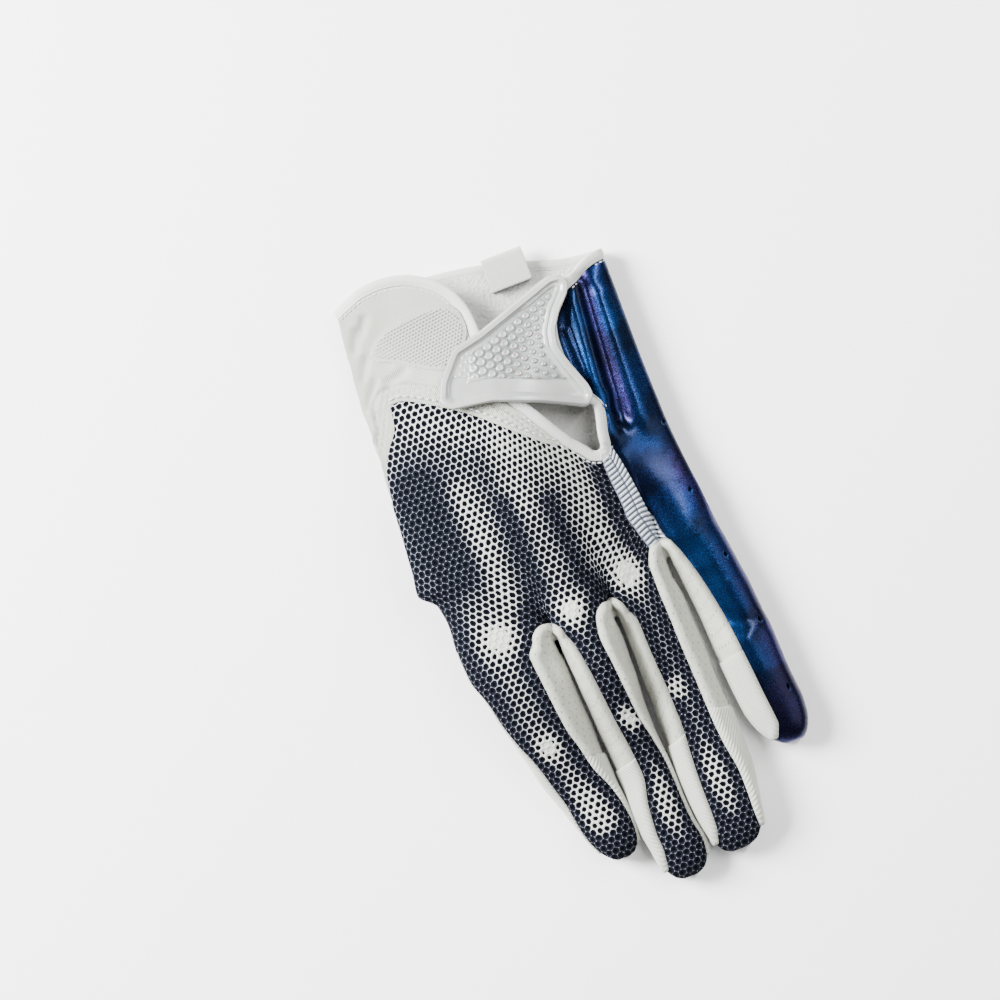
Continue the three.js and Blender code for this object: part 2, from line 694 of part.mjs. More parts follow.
// Adds a finger's lobe below a row of points that the panel already has
function addLobe(panel, firstRow, finger, edges) {
  const rows = [firstRow];
  const last = firstRow.length - 1;
  for (let step = 1; step < FINGER_STEPS.length; step++) {
    const [from, to] = edges(step);
    const row = firstRow.map((_, i) => {
      const angle = lerp(from[0], to[0], i / last);
      const t = lerp(from[1], to[1], i / last);
      return panel.add(fingerPoint(finger, angle, t, 0), fingerPoint(finger, angle, t, WALL));
    });
    rows.push(row);
  }
  panel.rows(rows);
}

const forkPlaces = FORKS.map((fork) => ({
  back: [bodyAngle(across(fork.back[0]), along(fork.back[1]), false), along(fork.back[1])],
  palm: [bodyAngle(across(fork.palm[0]), along(fork.palm[1]), true), along(fork.palm[1])],
}));
const sideCorner = [SIDE_SEAM, along(SIDE_SEAM_END)];
const backCorner = onBody([BACK_RIGHT[BACK_RIGHT.length - 1]], false)[0];
const wrapCorner = onBody([WRAP_LEFT[WRAP_LEFT.length - 1]], false)[0];

// Evenly spaced places between two ends, without the last one
function between(from, to, steps) {
  return Array.from({ length: steps }, (_, i) => [
    lerp(from[0], to[0], i / steps),
    lerp(from[1], to[1], i / steps),
  ]);
}

const BACK_COLUMNS = { index: 6, middle: 5, ring: 5 };
const PALM_COLUMNS = { wrap: 4, little: 4, ring: 3, middle: 3, index: 5 };

// Seams and free edges on the hand, each sampled once for all the pieces that meet there
const STEPS = { backTop: 12, backSide: 7, sideSeam: 5, wristSeam: 7, backSlit: 4, ribTop: 4 };
const wristCorner = [WRIST_SEAM, along(WRIST_SEAM_CUFF)];
const sideTop = [SIDE_SEAM, along(SIDE_SEAM_START)];
const belowPlaces = turned(onBody(CUFF_BELOW, true), -360);
const flapPlaces = [
  ...onBody(SLIT_LEFT.slice(1), false),
  ...belowPlaces.filter(([angle]) => angle > WRIST_SEAM + 5),
  wristCorner,
];
const palmCuffPlaces = [
  wristCorner,
  ...belowPlaces.filter(([angle]) => angle < WRIST_SEAM - 5),
  ...turned(onBody(SLIT_RIGHT, false), -360),
];
const seams = {
  flap: curve(flapPlaces, STEPS.backTop + STEPS.backSide),
  palmCuff: curve(palmCuffPlaces, Object.values(PALM_COLUMNS).reduce((a, b) => a + b)),
  ribTop: curve(onBody(SLIT_BOTTOM.slice(2), false), STEPS.ribTop),
  backSlit: curve(onBody([SLIT_LEFT[1], ...SLIT_BOTTOM.slice(0, 3)], false), STEPS.backSlit),
  backTop: curve(onBody(BACK_TOP, false), STEPS.backTop),
  backSide: curve([...onBody(BACK_SIDE, false), sideTop], STEPS.backSide),
  sideSeam: curve([sideTop, sideCorner], STEPS.sideSeam),
  wristSeam: curve([wristCorner, sideTop], STEPS.wristSeam),
};

// Where an edge of each finger starts, on the back
const backStarts = {
  index: [sideCorner[1], forkPlaces[0].back[1]],
  middle: [forkPlaces[0].back[1], forkPlaces[1].back[1]],
  ring: [forkPlaces[1].back[1], backCorner[1]],
  little: [wrapCorner[1], 0],
};
const palmStarts = {
  index: [sideCorner[1], forkPlaces[0].palm[1]],
  middle: [forkPlaces[0].palm[1], forkPlaces[1].palm[1]],
  ring: [forkPlaces[1].palm[1], forkPlaces[2].palm[1]],
  little: [forkPlaces[2].palm[1], 0],
};

function backEdges(finger, starts) {
  return (step) => {
    const left = stepPlace(finger, starts[0], step);
    const right = stepPlace(finger, starts[1], step);
    return [
      [backEdge(finger, -1, left), left],
      [backEdge(finger, 1, right), right],
    ];
  };
}

// The mesh back: from the slit to the forks, with the backs of three fingers
function backPanel() {
  const panel = new Panel();
  const top = chain(seams.backTop, seams.backSlit);
  const left = chain(seams.backSide, seams.sideSeam);
  const right = curve(onBody(BACK_RIGHT, false), left.length - 1);
  const bottom = [
    ...between(sideCorner, forkPlaces[0].back, BACK_COLUMNS.index),
    ...between(forkPlaces[0].back, forkPlaces[1].back, BACK_COLUMNS.middle),
    ...between(forkPlaces[1].back, backCorner, BACK_COLUMNS.ring),
    backCorner,
  ];
  const grid = addBodyGrid(panel, patch(top, bottom, left, right));
  panel.rows(grid);
  const fork = grid.at(-1);
  const second = BACK_COLUMNS.index;
  const third = second + BACK_COLUMNS.middle;
  addLobe(panel, fork.slice(0, second + 1), index, backEdges(index, backStarts.index));
  addLobe(panel, fork.slice(second, third + 1), middle, backEdges(middle, backStarts.middle));
  addLobe(panel, fork.slice(third), ring, backEdges(ring, backStarts.ring));
  return panel;
}

function palmEdges(finger, starts) {
  return (step) => {
    const edge = palmEdge(FINGER_STEPS[step]);
    return [
      [edge, stepPlace(finger, starts[1], step)],
      [360 - edge, stepPlace(finger, starts[0], step)],
    ];
  };
}

// The film palm: it wraps round the little-finger edge and covers the little finger's back
function palmPanel() {
  const panel = new Panel();
  const counts = PALM_COLUMNS;
  const top = reversed(turned(seams.palmCuff, 360));
  const right = turned(chain(seams.wristSeam, seams.sideSeam), 360);
  const left = curve(onBody(WRAP_LEFT, false), right.length - 1);
  const sideLow = right.at(-1);
  const edge = [90, (wrapCorner[1] + forkPlaces[2].palm[1]) / 2];
  const bottom = [
    ...between(wrapCorner, edge, counts.wrap),
    ...between(edge, forkPlaces[2].palm, counts.little),
    ...between(forkPlaces[2].palm, forkPlaces[1].palm, counts.ring),
    ...between(forkPlaces[1].palm, forkPlaces[0].palm, counts.middle),
    ...between(forkPlaces[0].palm, sideLow, counts.index),
    sideLow,
  ];
  const grid = addBodyGrid(panel, patch(top, bottom, left, right));
  panel.rows(grid);
  const fork = grid.at(-1);
  const second = counts.wrap + counts.little;
  const third = second + counts.ring;
  const fourth = third + counts.middle;
  addLobe(panel, fork.slice(0, second + 1), little, (step) => {
    const start = stepPlace(little, backStarts.little[0], step);
    const end = stepPlace(little, palmStarts.little[0], step);
    return [
      [backEdge(little, -1, start), start],
      [360 - palmEdge(FINGER_STEPS[step]), end],
    ];
  });
  addLobe(panel, fork.slice(second, third + 1), ring, palmEdges(ring, palmStarts.ring));
  addLobe(panel, fork.slice(third, fourth + 1), middle, palmEdges(middle, palmStarts.middle));
  addLobe(panel, fork.slice(fourth), index, palmEdges(index, palmStarts.index));
  return panel;
}

// The white wrist panel: the cuff's flap, the band beside the back panel and the thumb side
function wristPanel() {
  const panel = new Panel();
  const top = seams.flap;
  const bottom = chain(reversed(seams.backTop), seams.backSide);
  const right = seams.wristSeam;
  const left = between(top[0], bottom[0], STEPS.wristSeam).concat([bottom[0]]);
  panel.rows(addBodyGrid(panel, patch(top, bottom, left, right)));
  return panel;
}

// Side walls between a back edge, the line at half height and a palm edge
function sidePoint(finger, side, step, depth, starts) {
  const backPlace = stepPlace(finger, starts.back, step);
  const palmPlace = stepPlace(finger, starts.palm, step);
  const middlePlace = stepPlace(finger, starts.middle, step);
  const back = backEdge(finger, side, backPlace);
  const palm = side * palmEdge(FINGER_STEPS[step]);
  const widest = side * Math.max(90, Math.abs(back + palm) / 2);
  return {
    back: fingerPoint(finger, back, backPlace, depth),
    middle: fingerPoint(finger, widest, middlePlace, depth),
    palm: fingerPoint(finger, palm, palmPlace, depth),
  };
}

const SIDE_TURNS = [0, 45, 90, 135, 180];

// Points of one station of a side wall, rounded between its three lines
function sideStation(lines) {
  return SIDE_TURNS.map((turn) => {
    const end = turn < 90 ? lines.back : lines.palm;
    const rise = Math.abs(Math.cos(radians(turn)));
    const reach = Math.sin(radians(turn));
    return new THREE.Vector3(
      lerp(end.x, lines.middle.x, reach),
      lerp(end.y, lines.middle.y, reach),
      lerp(lines.middle.z, end.z, rise),
    );
  });
}

function addStations(panel, stations) {
  const grid = stations.map((make) => {
    const outer = sideStation(make(0));
    const inner = sideStation(make(WALL));
    return outer.map((p, i) => panel.add(p, inner[i]));
  });
  return panel.rows(grid);
}

// Stations of one side of a finger, from a step to another
function fingerStations(finger, side, from, to, starts) {
  const stations = [];
  const way = Math.sign(to - from);
  for (let step = from; step !== to + way; step += way) {
    stations.push((depth) => sidePoint(finger, side, step, depth, starts));
  }
  return stations;
}

// Where the crotch between two fingers lies at half height, a share across and along
function crotchPoint(place, depth) {
  const point = bodyPoint(bodyAngle(across(place[0]), along(place[1]), false), along(place[1]), 0);
  const z = FINGER_THICKNESS / 2 - PRESS + raise(point.x, -point.y);
  return new THREE.Vector3(point.x, point.y + depth, z);
}

const sides = [
  {
    fork: 0,
    left: { finger: index, back: backStarts.index[1], palm: palmStarts.index[1] },
    right: { finger: middle, back: backStarts.middle[0], palm: palmStarts.middle[0] },
  },
  {
    fork: 1,
    left: { finger: middle, back: backStarts.middle[1], palm: palmStarts.middle[1] },
    right: { finger: ring, back: backStarts.ring[0], palm: palmStarts.ring[0] },
  },
  {
    fork: 2,
    left: { finger: ring, back: backStarts.ring[1], palm: palmStarts.ring[1] },
    right: { finger: little, back: backStarts.little[0], palm: palmStarts.little[0] },
  },
];

// The perforated wall between two fingers, round the crotch
function gusset({ fork, left, right }) {
  const panel = new Panel();
  const { crotch } = FORKS[fork];
  const middlePlace = along(crotch[1]);
  const leftStarts = { back: left.back, palm: left.palm, middle: middlePlace };
  const rightStarts = { back: right.back, palm: right.palm, middle: middlePlace };
  const turn = (back, shift) => (depth) => ({
    back: bodyPoint(back[0], back[1], depth),
    middle: crotchPoint([crotch[0] + shift, crotch[1]], depth),
    palm: bodyPoint(forkPlaces[fork].palm[0], forkPlaces[fork].palm[1], depth),
  });
  const spread = 0.004;
  const round =
    fork < 2
      ? [turn(forkPlaces[fork].back, 0)]
      : [turn(backCorner, -spread), turn(forkPlaces[2].back, 0), turn(wrapCorner, spread)];
  return addStations(panel, [
    ...fingerStations(left.finger, 1, GUSSET_STEPS, 1, leftStarts),
    ...round,
    ...fingerStations(right.finger, -1, 1, GUSSET_STEPS, rightStarts),
  ]);
}

// The knitted strip that carries a side wall on to the finger's tip
function sideStrip({ finger, back, palm }, side, fork) {
  const starts = { back, palm, middle: along(FORKS[fork].crotch[1]) };
  const stations = fingerStations(finger, side, GUSSET_STEPS, STRIP_STEPS, starts);
  return addStations(new Panel(), stations);
}

// The strip on the thumb side of the index finger starts in a point at the side seam
function indexSideStrip() {
  const starts = { back: sideCorner[1], palm: sideCorner[1], middle: sideCorner[1] };
  const start = (depth) => {
    const point = bodyPoint(sideCorner[0], sideCorner[1], depth);
    return { back: point, middle: point, palm: point };
  };
  const stations = fingerStations(index, -1, 1, STRIP_STEPS, starts);
  return addStations(new Panel(), [start, ...stations]);
}

// The elastic insert between the slit and the ring finger's fork, with ribs across it
function ribInsert() {
  const panel = new Panel();
  const steps = Math.round((along(BACK_RIGHT.at(-1).along - BACK_RIGHT[0].along) / RIB_PITCH) * 2);
  const left = curve(onBody(BACK_RIGHT, false), steps);
  const right = curve(onBody(WRAP_LEFT, false), steps);
  const top = seams.ribTop;
  const bottom = curve([backCorner, forkPlaces[2].back, wrapCorner], STEPS.ribTop);
  const grid = patch(top, bottom, left, right).map((row, j) =>
    row.map(([angle, t], i) => {
      const edge = j === 0 || j === steps || i === 0 || i === STEPS.ribTop || i * 2 === STEPS.ribTop;
      const rib = edge || j % 2 ? 0 : -RIB_HEIGHT;
      return panel.add(bodyPoint(angle, t, rib), bodyPoint(angle, t, WALL));
    }),
  );
  return panel.rows(grid);
}

// The thumb's panels run between two angles and two shares of its length
function thumbPanel(from, to, columnsCount, steps, outer, inner) {
  const panel = new Panel();
  const grid = steps.map((step) =>
    Array.from({ length: columnsCount + 1 }, (_, i) => {
      const angle = lerp(from, to, i / columnsCount);
      const out = typeof step === "function" ? step(angle) : step;
      return panel.add(thumbPoint(angle, out, outer), thumbPoint(angle, out, inner));
    }),
  );
  return panel.rows(grid);
}

// A closed shape of a whole tube, used to cut the panels round the thumb
function tube(pointAt, stations, turns) {
  const places = [];
  for (const station of stations) {
    for (let i = 0; i < turns; i++) places.push(pointAt((360 * i) / turns, station));
  }
  const triangles = [];
  for (let j = 0; j + 1 < stations.length; j++) {
    for (let i = 0; i < turns; i++) {
      const next = (i + 1) % turns;
      const a = j * turns + i;
      const b = j * turns + next;
      triangles.push(a, b, b + turns, a, b + turns, a + turns);
    }
  }
  const last = (stations.length - 1) * turns;
  for (const start of [0, last]) {
    const centre = new THREE.Vector3();
    for (let i = 0; i < turns; i++) centre.add(places[start + i]);
    places.push(centre.divideScalar(turns));
    for (let i = 0; i < turns; i++) {
      const pair = [start + i, start + ((i + 1) % turns)];
      if (start === 0) pair.reverse();
      triangles.push(places.length - 1, ...pair);
    }
  }
  return closed(places.flatMap((p) => [p.x, p.y, p.z]), triangles);
}

const THUMB_STEPS = [0, 0.09, 0.18, 0.27, 0.36, 0.46, 0.58, 0.7, 0.8, 0.88, 0.94, 0.98, 1];
const CAP_FROM = 0.78;
const capSeam = (angle) => CAP_FROM + 0.1 * Math.sin(radians(angle - 90)) ** 2;
const backThumbSteps = [...THUMB_STEPS.filter((step) => step < CAP_FROM), capSeam];
const capSteps = [capSeam, ...THUMB_STEPS.filter((step) => step > 0.9)];
const BODY_TURNS = 40;
const BODY_STATIONS = { first: -0.14, pitch: 0.1, count: 14 };
const THUMB_TURNS = 24;

function thumbShape(depth) {
  return toManifold(tube((angle, out) => thumbPoint(angle, out, depth), THUMB_STEPS, THUMB_TURNS));
}

function bodyShape(depth) {
  const { first, pitch, count } = BODY_STATIONS;
  const stations = Array.from({ length: count }, (_, i) => along(first + i * pitch));
  return toManifold(tube((angle, t) => bodyPoint(angle, t, depth), stations, BODY_TURNS));
}

// A diamond-shaped punch through the skin at a point
function punch(point, normal) {
  const side = new THREE.Vector3(0, 1, 0).cross(normal).normalize();
  const length = normal.clone().cross(side).normalize();
  const corners = [
    length.clone().multiplyScalar(HOLE_LENGTH / 2),
    side.clone().multiplyScalar(HOLE_WIDTH / 2),
    length.clone().multiplyScalar(-HOLE_LENGTH / 2),
    side.clone().multiplyScalar(-HOLE_WIDTH / 2),
  ];
  const reach = normal.clone().normalize().multiplyScalar(WALL * 2);
  const places = [-1, 1].flatMap((sign) =>
    corners.flatMap((corner) => {
      const p = point.clone().add(corner).addScaledVector(reach, sign);
      return [p.x, p.y, p.z];
    }),
  );
  const walls = [0, 1, 2, 3].flatMap((i) => {
    const next = (i + 1) % 4;
    return [i, next, next + 4, i, next + 4, i + 4];
  });
  return toManifold(closed(places, [0, 2, 1, 0, 3, 2, 4, 5, 6, 4, 6, 7, ...walls]));
}

function thumbHoles() {
  const step = HOLE_PITCH / THUMB_LENGTH;
  return THUMB_HOLES.flatMap(({ angle, from, count }) =>
    Array.from({ length: count }, (_, i) => {
      const out = from + i * step;
      const outer = thumbPoint(angle, out, 0);
      const inner = thumbPoint(angle, out, WALL);
      return punch(outer.clone().lerp(inner, 0.5), outer.sub(inner));
    }),
  );
}

function edgeHoles() {
  return EDGE_HOLES.map((hole) => {
    const t = along(hole.along);
    const angle = bodyAngle(across(hole.across), t, false);
    const outer = bodyPoint(angle, t, 0);
    const inner = bodyPoint(angle, t, WALL);
    return punch(outer.clone().lerp(inner, 0.5), outer.sub(inner));
  });
}

// The bead that binds the cuff and the slit, one closed loop of sections beside the cloth's edge
function cuffBinding() {
  const slit = chain(reversed(seams.ribTop), reversed(seams.backSlit));
  const samples = chain(seams.flap, seams.palmCuff, turned(slit, -360)).slice(0, -1);
  const steps = samples.length;
  const outer = samples.map(([angle, t]) => bodyPoint(angle, t, 0));
  const inner = samples.map(([angle, t]) => bodyPoint(angle, t, WALL));
  const sections = samples.map((_, i) => {
    const before = outer[(i + steps - 1) % steps];
    const after = outer[(i + 1) % steps];
    const normal = outer[i].clone().sub(inner[i]).normalize();
    const way = after.clone().sub(before).normalize();
    const away = way.clone().cross(normal).normalize();
    const centre = outer[i].clone().lerp(inner[i], 0.5);
    centre.addScaledVector(away, GAP + BINDING_WIDTH / 2);
    const ring = Array.from({ length: 8 }, (_, k) => {
      const turn = radians(22.5 + 45 * k);
      const round = 1 / Math.cos(radians(22.5));
      return centre
        .clone()
        .addScaledVector(away, (Math.cos(turn) * round * BINDING_WIDTH) / 2)
        .addScaledVector(normal, (Math.sin(turn) * round * BINDING_THICKNESS) / 2);
    });
    const lowest = Math.min(...ring.map((p) => p.z));
    if (lowest < 0) ring.forEach((p) => (p.z -= lowest));
    return ring;
  });
  const places = sections.flat().flatMap((p) => [p.x, p.y, p.z]);
  const triangles = [];
  for (let i = 0; i < steps; i++) {
    for (let k = 0; k < 8; k++) {
      const a = i * 8 + k;
      const b = i * 8 + ((k + 1) % 8);
      const c = ((i + 1) % steps) * 8 + ((k + 1) % 8);
      const d = ((i + 1) % steps) * 8 + k;
      triangles.push(a, b, c, a, c, d);
    }
  }
  return closed(places, triangles);
}

// Body places of an edge given from above, with its points spaced by the given shares
function topEdge(points, shares) {
  const knots = points.map((p) => new THREE.Vector3(across(p.across), along(p.along), 0));
  const line = new THREE.CatmullRomCurve3(knots, false, "centripetal");
  return shares.map((share) => {
    const p = line.getPointAt(share);
    return [p.x, p.y];
  });
}

// A patch laid on the back of the glove, between two heights above the cloth
function laidPatch(edges, shares, heights) {
  const [top, bottom, left, right] = edges.map((edge, i) => topEdge(edge, shares[i > 1 ? 1 : 0]));
  const panel = new Panel();
  const grid = patch(top, bottom, left, right);
  const lastRow = grid.length - 1;
  const rows = grid.map((row, j) =>
    row.map(([s, t], i) => {
      const onRim = i < 2 || j < 2 || i > row.length - 3 || j > lastRow - 2;
      const high = heights.high + (onRim ? heights.rim : 0);
      const angle = bodyAngle(s, t, false);
      return panel.add(bodyPoint(angle, t, -high), bodyPoint(angle, t, -heights.low));
    }),
  );
  return panel.rows(rows).solid();
}

function evenShares(count) {
  return Array.from({ length: count + 1 }, (_, i) => i / count);
}

// The dotted pad lies on the flap, the strap on the film, and the tab bridges both
const PAD_LOW = 2 * GAP;
const STRAP_LOW = 2 * GAP;
const TAB_LOW = Math.max(PAD_LOW + PAD_THICKNESS, STRAP_LOW + STRAP_THICKNESS) + 2 * GAP;

function loopPad() {
  const edges = [
    PAD_TOP,
    PAD_BOTTOM,
    [PAD_TOP[0], PAD_BOTTOM[0]],
    [PAD_TOP.at(-1), { across: -0.085, along: 0.12 }, PAD_BOTTOM.at(-1)],
  ];
  const heights = { low: PAD_LOW, high: PAD_LOW + PAD_THICKNESS, rim: 0 };
  return laidPatch(edges, [evenShares(6), evenShares(5)], heights);
}

function closureTab() {
  const rimShares = [0, 0.06, 0.09, 0.3, 0.5, 0.7, 0.91, 0.94, 1];
  const heights = { low: TAB_LOW, high: TAB_LOW + TAB_THICKNESS, rim: TAB_RIM_HEIGHT };
  return laidPatch([TAB_TOP, TAB_BOTTOM, TAB_LEFT, TAB_RIGHT], [rimShares, rimShares], heights);
}

function closureStrap() {
  const corner = (a, l) => ({ across: STRAP[a], along: STRAP[l] });
  const edges = [
    [corner("left", "top"), corner("right", "top")],
    [corner("left", "bottom"), corner("right", "bottom")],
    [corner("left", "top"), corner("left", "bottom")],
    [corner("right", "top"), corner("right", "bottom")],
  ];
  const heights = { low: STRAP_LOW, high: STRAP_LOW + STRAP_THICKNESS, rim: 0 };
  return laidPatch(edges, [evenShares(2), evenShares(6)], heights);
}

// The pebbled lining on the palm's inner face, where it shows through the cuff and the slit
const LINING_AIR = 3.8 * GAP;
const LINING = { from: 108, to: 196, end: 0.78, setback: 0.045 };

function cuffLining() {
  const panel = new Panel();
  const line = onBody([...CUFF_BELOW].reverse(), true);
  const cuff = curve(line, 40);
  const cuffAt = (angle) => {
    const i = cuff.findIndex((p) => p[0] >= angle);
    return cuff[Math.max(i, 1)][1];
  };
  const depth = WALL + LINING_AIR;
  const grid = evenShares(10).map((v) =>
    evenShares(10).map((u) => {
      const angle = lerp(LINING.from, LINING.to, u);
      return [angle, lerp(cuffAt(angle) + along(LINING.setback), along(LINING.end), v)];
    }),
  );
  return panel.rows(addBodyGrid(panel, grid, depth, depth + LINING_THICKNESS)).solid();
}

// The webbing loop sewn inside the palm edge of the cuff, folded over outside it
const LOOP = { left: 0.05, right: 0.185, sewn: 0.065, fold: -0.045 };

function pullLoop() {
  const low = WALL + LINING_AIR + LINING_THICKNESS + GAP;
  const high = low + 2 * LOOP_THICKNESS + LOOP_OPENING;
  const sewn = -along(LOOP.sewn);
  const fold = -along(LOOP.fold);
  const shape = new THREE.Shape();
  const radius = (high - low) / 2;
  shape.moveTo(sewn, low);
  shape.lineTo(fold - radius, low);
  shape.absarc(fold - radius, low + radius, radius, -Math.PI / 2, Math.PI / 2, false);
  shape.lineTo(sewn, high);
  shape.lineTo(sewn, high - LOOP_THICKNESS);
  shape.lineTo(fold - radius, high - LOOP_THICKNESS);
  const inner = radius - LOOP_THICKNESS;
  shape.absarc(fold - radius, low + radius, inner, Math.PI / 2, -Math.PI / 2, true);
  shape.lineTo(sewn, low + LOOP_THICKNESS);
  const width = across(LOOP.right - LOOP.left);
  const geometry = new THREE.ExtrudeGeometry(shape, {
    depth: width,
    bevelEnabled: false,
    curveSegments: 6,
  });
  const toFrame = new THREE.Matrix4().makeBasis(
    new THREE.Vector3(0, 1, 0),
    new THREE.Vector3(0, 0, 1),
    new THREE.Vector3(1, 0, 0),
  );
  geometry.applyMatrix4(toFrame);
  geometry.translate(across(LOOP.left), 0, 0);
  return geometry;
}

const white = { color: 0xdcdcd6, roughness: 0.85, metalness: 0 };
const film = { color: 0x1d3f7a, roughness: 0.3, metalness: 0.8 };
const mesh = { color: 0x3b4150, roughness: 0.8, metalness: 0 };
const knit = { color: 0xdedfd6, roughness: 0.9, metalness: 0 };
const silicone = { color: 0xc9ccc9, roughness: 0.4, metalness: 0 };
const grey = { color: 0xc3c3bd, roughness: 0.9, metalness: 0 };

const group = new THREE.Group();

function addPiece(name, geometry, finish) {
  const piece = new THREE.Mesh(geometry, new THREE.MeshStandardMaterial(finish));
  piece.name = name;
  group.add(piece);
}

// The thumb is cut against the hand: its back is one cloth with the wrist panel
const half = GAP / 2;
const backOfThumb = thumbPanel(90, 270, 8, backThumbSteps, 0, WALL);
const frontOfThumb = thumbPanel(-90, 90, 6, THUMB_STEPS, 0, WALL);
const roomForFront = thumbPanel(-90, 90, 6, THUMB_STEPS, -GAP, WALL + GAP);
const thumbInside = thumbShape(WALL);
const thumbOutside = thumbShape(-GAP);
const handSkin = bodyShape(WALL / 2);
const thumbFront = toManifold(frontOfThumb.trim(half).solid()).subtract(handSkin);
const thumbBack = toManifold(backOfThumb.trim(half).solid()).subtract(handSkin);
let wrist = toManifold(wristPanel().trim(half).solid());
wrist = wrist.subtract(thumbInside).add(thumbBack);
wrist = wrist.subtract(toManifold(roomForFront.solid()));
for (const hole of thumbHoles()) wrist = wrist.subtract(hole);
let palm = toManifold(palmPanel().trim(half).solid()).subtract(thumbOutside);
for (const hole of edgeHoles()) palm = palm.subtract(hole);
const cap = thumbPanel(90, 270, 8, capSteps, 0, WALL);

addPiece("palm_panel", fromManifold(palm), film);
addPiece("back_mesh_panel", backPanel().trim(half).solid(), mesh);
addPiece("wrist_panel", fromManifold(wrist), white);
addPiece("thumb_front", fromManifold(thumbFront), film);
addPiece("thumb_tip_cap", cap.trim(half).solid(), film);
addPiece("gusset_index_middle", gusset(sides[0]).trim(half).solid(), white);
addPiece("gusset_middle_ring", gusset(sides[1]).trim(half).solid(), white);
addPiece("gusset_ring_little", gusset(sides[2]).trim(half).solid(), white);
addPiece("index_thumb_side_strip", indexSideStrip().trim(half).solid(), knit);
addPiece("index_inner_strip", sideStrip(sides[0].left, 1, 0).trim(half).solid(), knit);
addPiece("middle_index_side_strip", sideStrip(sides[0].right, -1, 0).trim(half).solid(), knit);
addPiece("middle_ring_side_strip", sideStrip(sides[1].left, 1, 1).trim(half).solid(), knit);
addPiece("ring_middle_side_strip", sideStrip(sides[1].right, -1, 1).trim(half).solid(), knit);
addPiece("ring_little_side_strip", sideStrip(sides[2].left, 1, 2).trim(half).solid(), knit);
addPiece("little_inner_strip", sideStrip(sides[2].right, -1, 2).trim(half).solid(), knit);
addPiece("rib_insert", ribInsert().trim(half).solid(), knit);
addPiece("cuff_binding", cuffBinding(), white);
addPiece("cuff_lining", cuffLining(), grey);
addPiece("pull_loop", pullLoop(), white);
addPiece("loop_pad", loopPad(), white);
addPiece("closure_strap", closureStrap(), film);
addPiece("closure_tab", closureTab(), silicone);

// The origin is the middle of the whole part, on the surface it rests on
const box = new THREE.Box3().setFromObject(group, true);
const middleOfBox = box.getCenter(new THREE.Vector3());
for (const piece of group.children) {
  piece.geometry.translate(-middleOfBox.x, -middleOfBox.y, -box.min.z);
}

export default group;
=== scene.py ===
"""Looks of a left-hand football receiver glove, lying palm down with its thumb folded under the palm.

Lengths are millimetres in the hand's own axes until a mesh is made: s runs across towards the little
finger, t runs along towards the fingertips, and z is up. Tables hold shares of the named sizes.
"""

import math

import bpy
import numpy as np
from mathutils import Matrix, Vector, noise


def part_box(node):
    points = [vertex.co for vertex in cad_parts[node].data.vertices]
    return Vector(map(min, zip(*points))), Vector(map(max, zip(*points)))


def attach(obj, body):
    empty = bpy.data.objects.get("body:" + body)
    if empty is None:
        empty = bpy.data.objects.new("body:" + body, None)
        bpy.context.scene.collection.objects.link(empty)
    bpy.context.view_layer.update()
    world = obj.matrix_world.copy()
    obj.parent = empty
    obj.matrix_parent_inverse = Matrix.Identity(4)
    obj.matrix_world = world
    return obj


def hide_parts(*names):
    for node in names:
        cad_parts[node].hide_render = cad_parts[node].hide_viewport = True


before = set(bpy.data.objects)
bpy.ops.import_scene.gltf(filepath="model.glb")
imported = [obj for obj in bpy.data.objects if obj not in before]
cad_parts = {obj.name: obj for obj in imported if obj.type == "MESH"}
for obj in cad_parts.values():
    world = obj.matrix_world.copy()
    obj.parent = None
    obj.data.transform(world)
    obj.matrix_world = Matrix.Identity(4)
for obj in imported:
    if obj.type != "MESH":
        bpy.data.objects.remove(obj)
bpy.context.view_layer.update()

# Driving sizes in millimetres, the same as the solids'
GLOVE_WIDTH = 100
PALM_LENGTH = 100
BODY_THICKNESS = 13.4
FINGER_THICKNESS = 12.4
FINGER_LENGTHS = {"index": 78, "middle": 91, "ring": 88.5, "little": 75}
FINGER_WIDTHS = {"index": 30, "middle": 20, "ring": 24, "little": 20}
THUMB_LENGTH = 111
THUMB_WIDTH = 32
THUMB_THICKNESS = 10.4
WALL = 1.2
GAP = 0.3
BINDING_WIDTH = 2.6
BINDING_THICKNESS = 2.2
LINING_THICKNESS = 0.8
PAD_THICKNESS = 0.8
STRAP_THICKNESS = 0.9
TAB_THICKNESS = 1.9
LOOP_THICKNESS = 0.9
LOOP_OPENING = 1.4
PRESS = 1
RAISE = THUMB_THICKNESS + 0.6
FLATNESS_ABOVE = 0.75
FLATNESS_BELOW = 0.45
SEAM_HALF = 0.3
MM = 0.001

# Outline of the hand: along; left, right, thick
BODY = [
    (-0.15, -0.43, 0.412, 0.9),
    (0, -0.44, 0.417, 0.94),
    (0.1, -0.452, 0.42, 0.97),
    (0.2, -0.462, 0.42, 1),
    (0.4, -0.47, 0.419, 1),
    (0.6, -0.486, 0.42, 1),
    (0.8, -0.502, 0.434, 1),
    (0.875, -0.513, 0.443, 0.98),
    (0.93, -0.465, 0.448, 0.96),
    (1, -0.455, 0.455, 0.94),
    (1.1, -0.462, 0.467, 0.925),
    (1.18, -0.455, 0.48, 0.925),
]

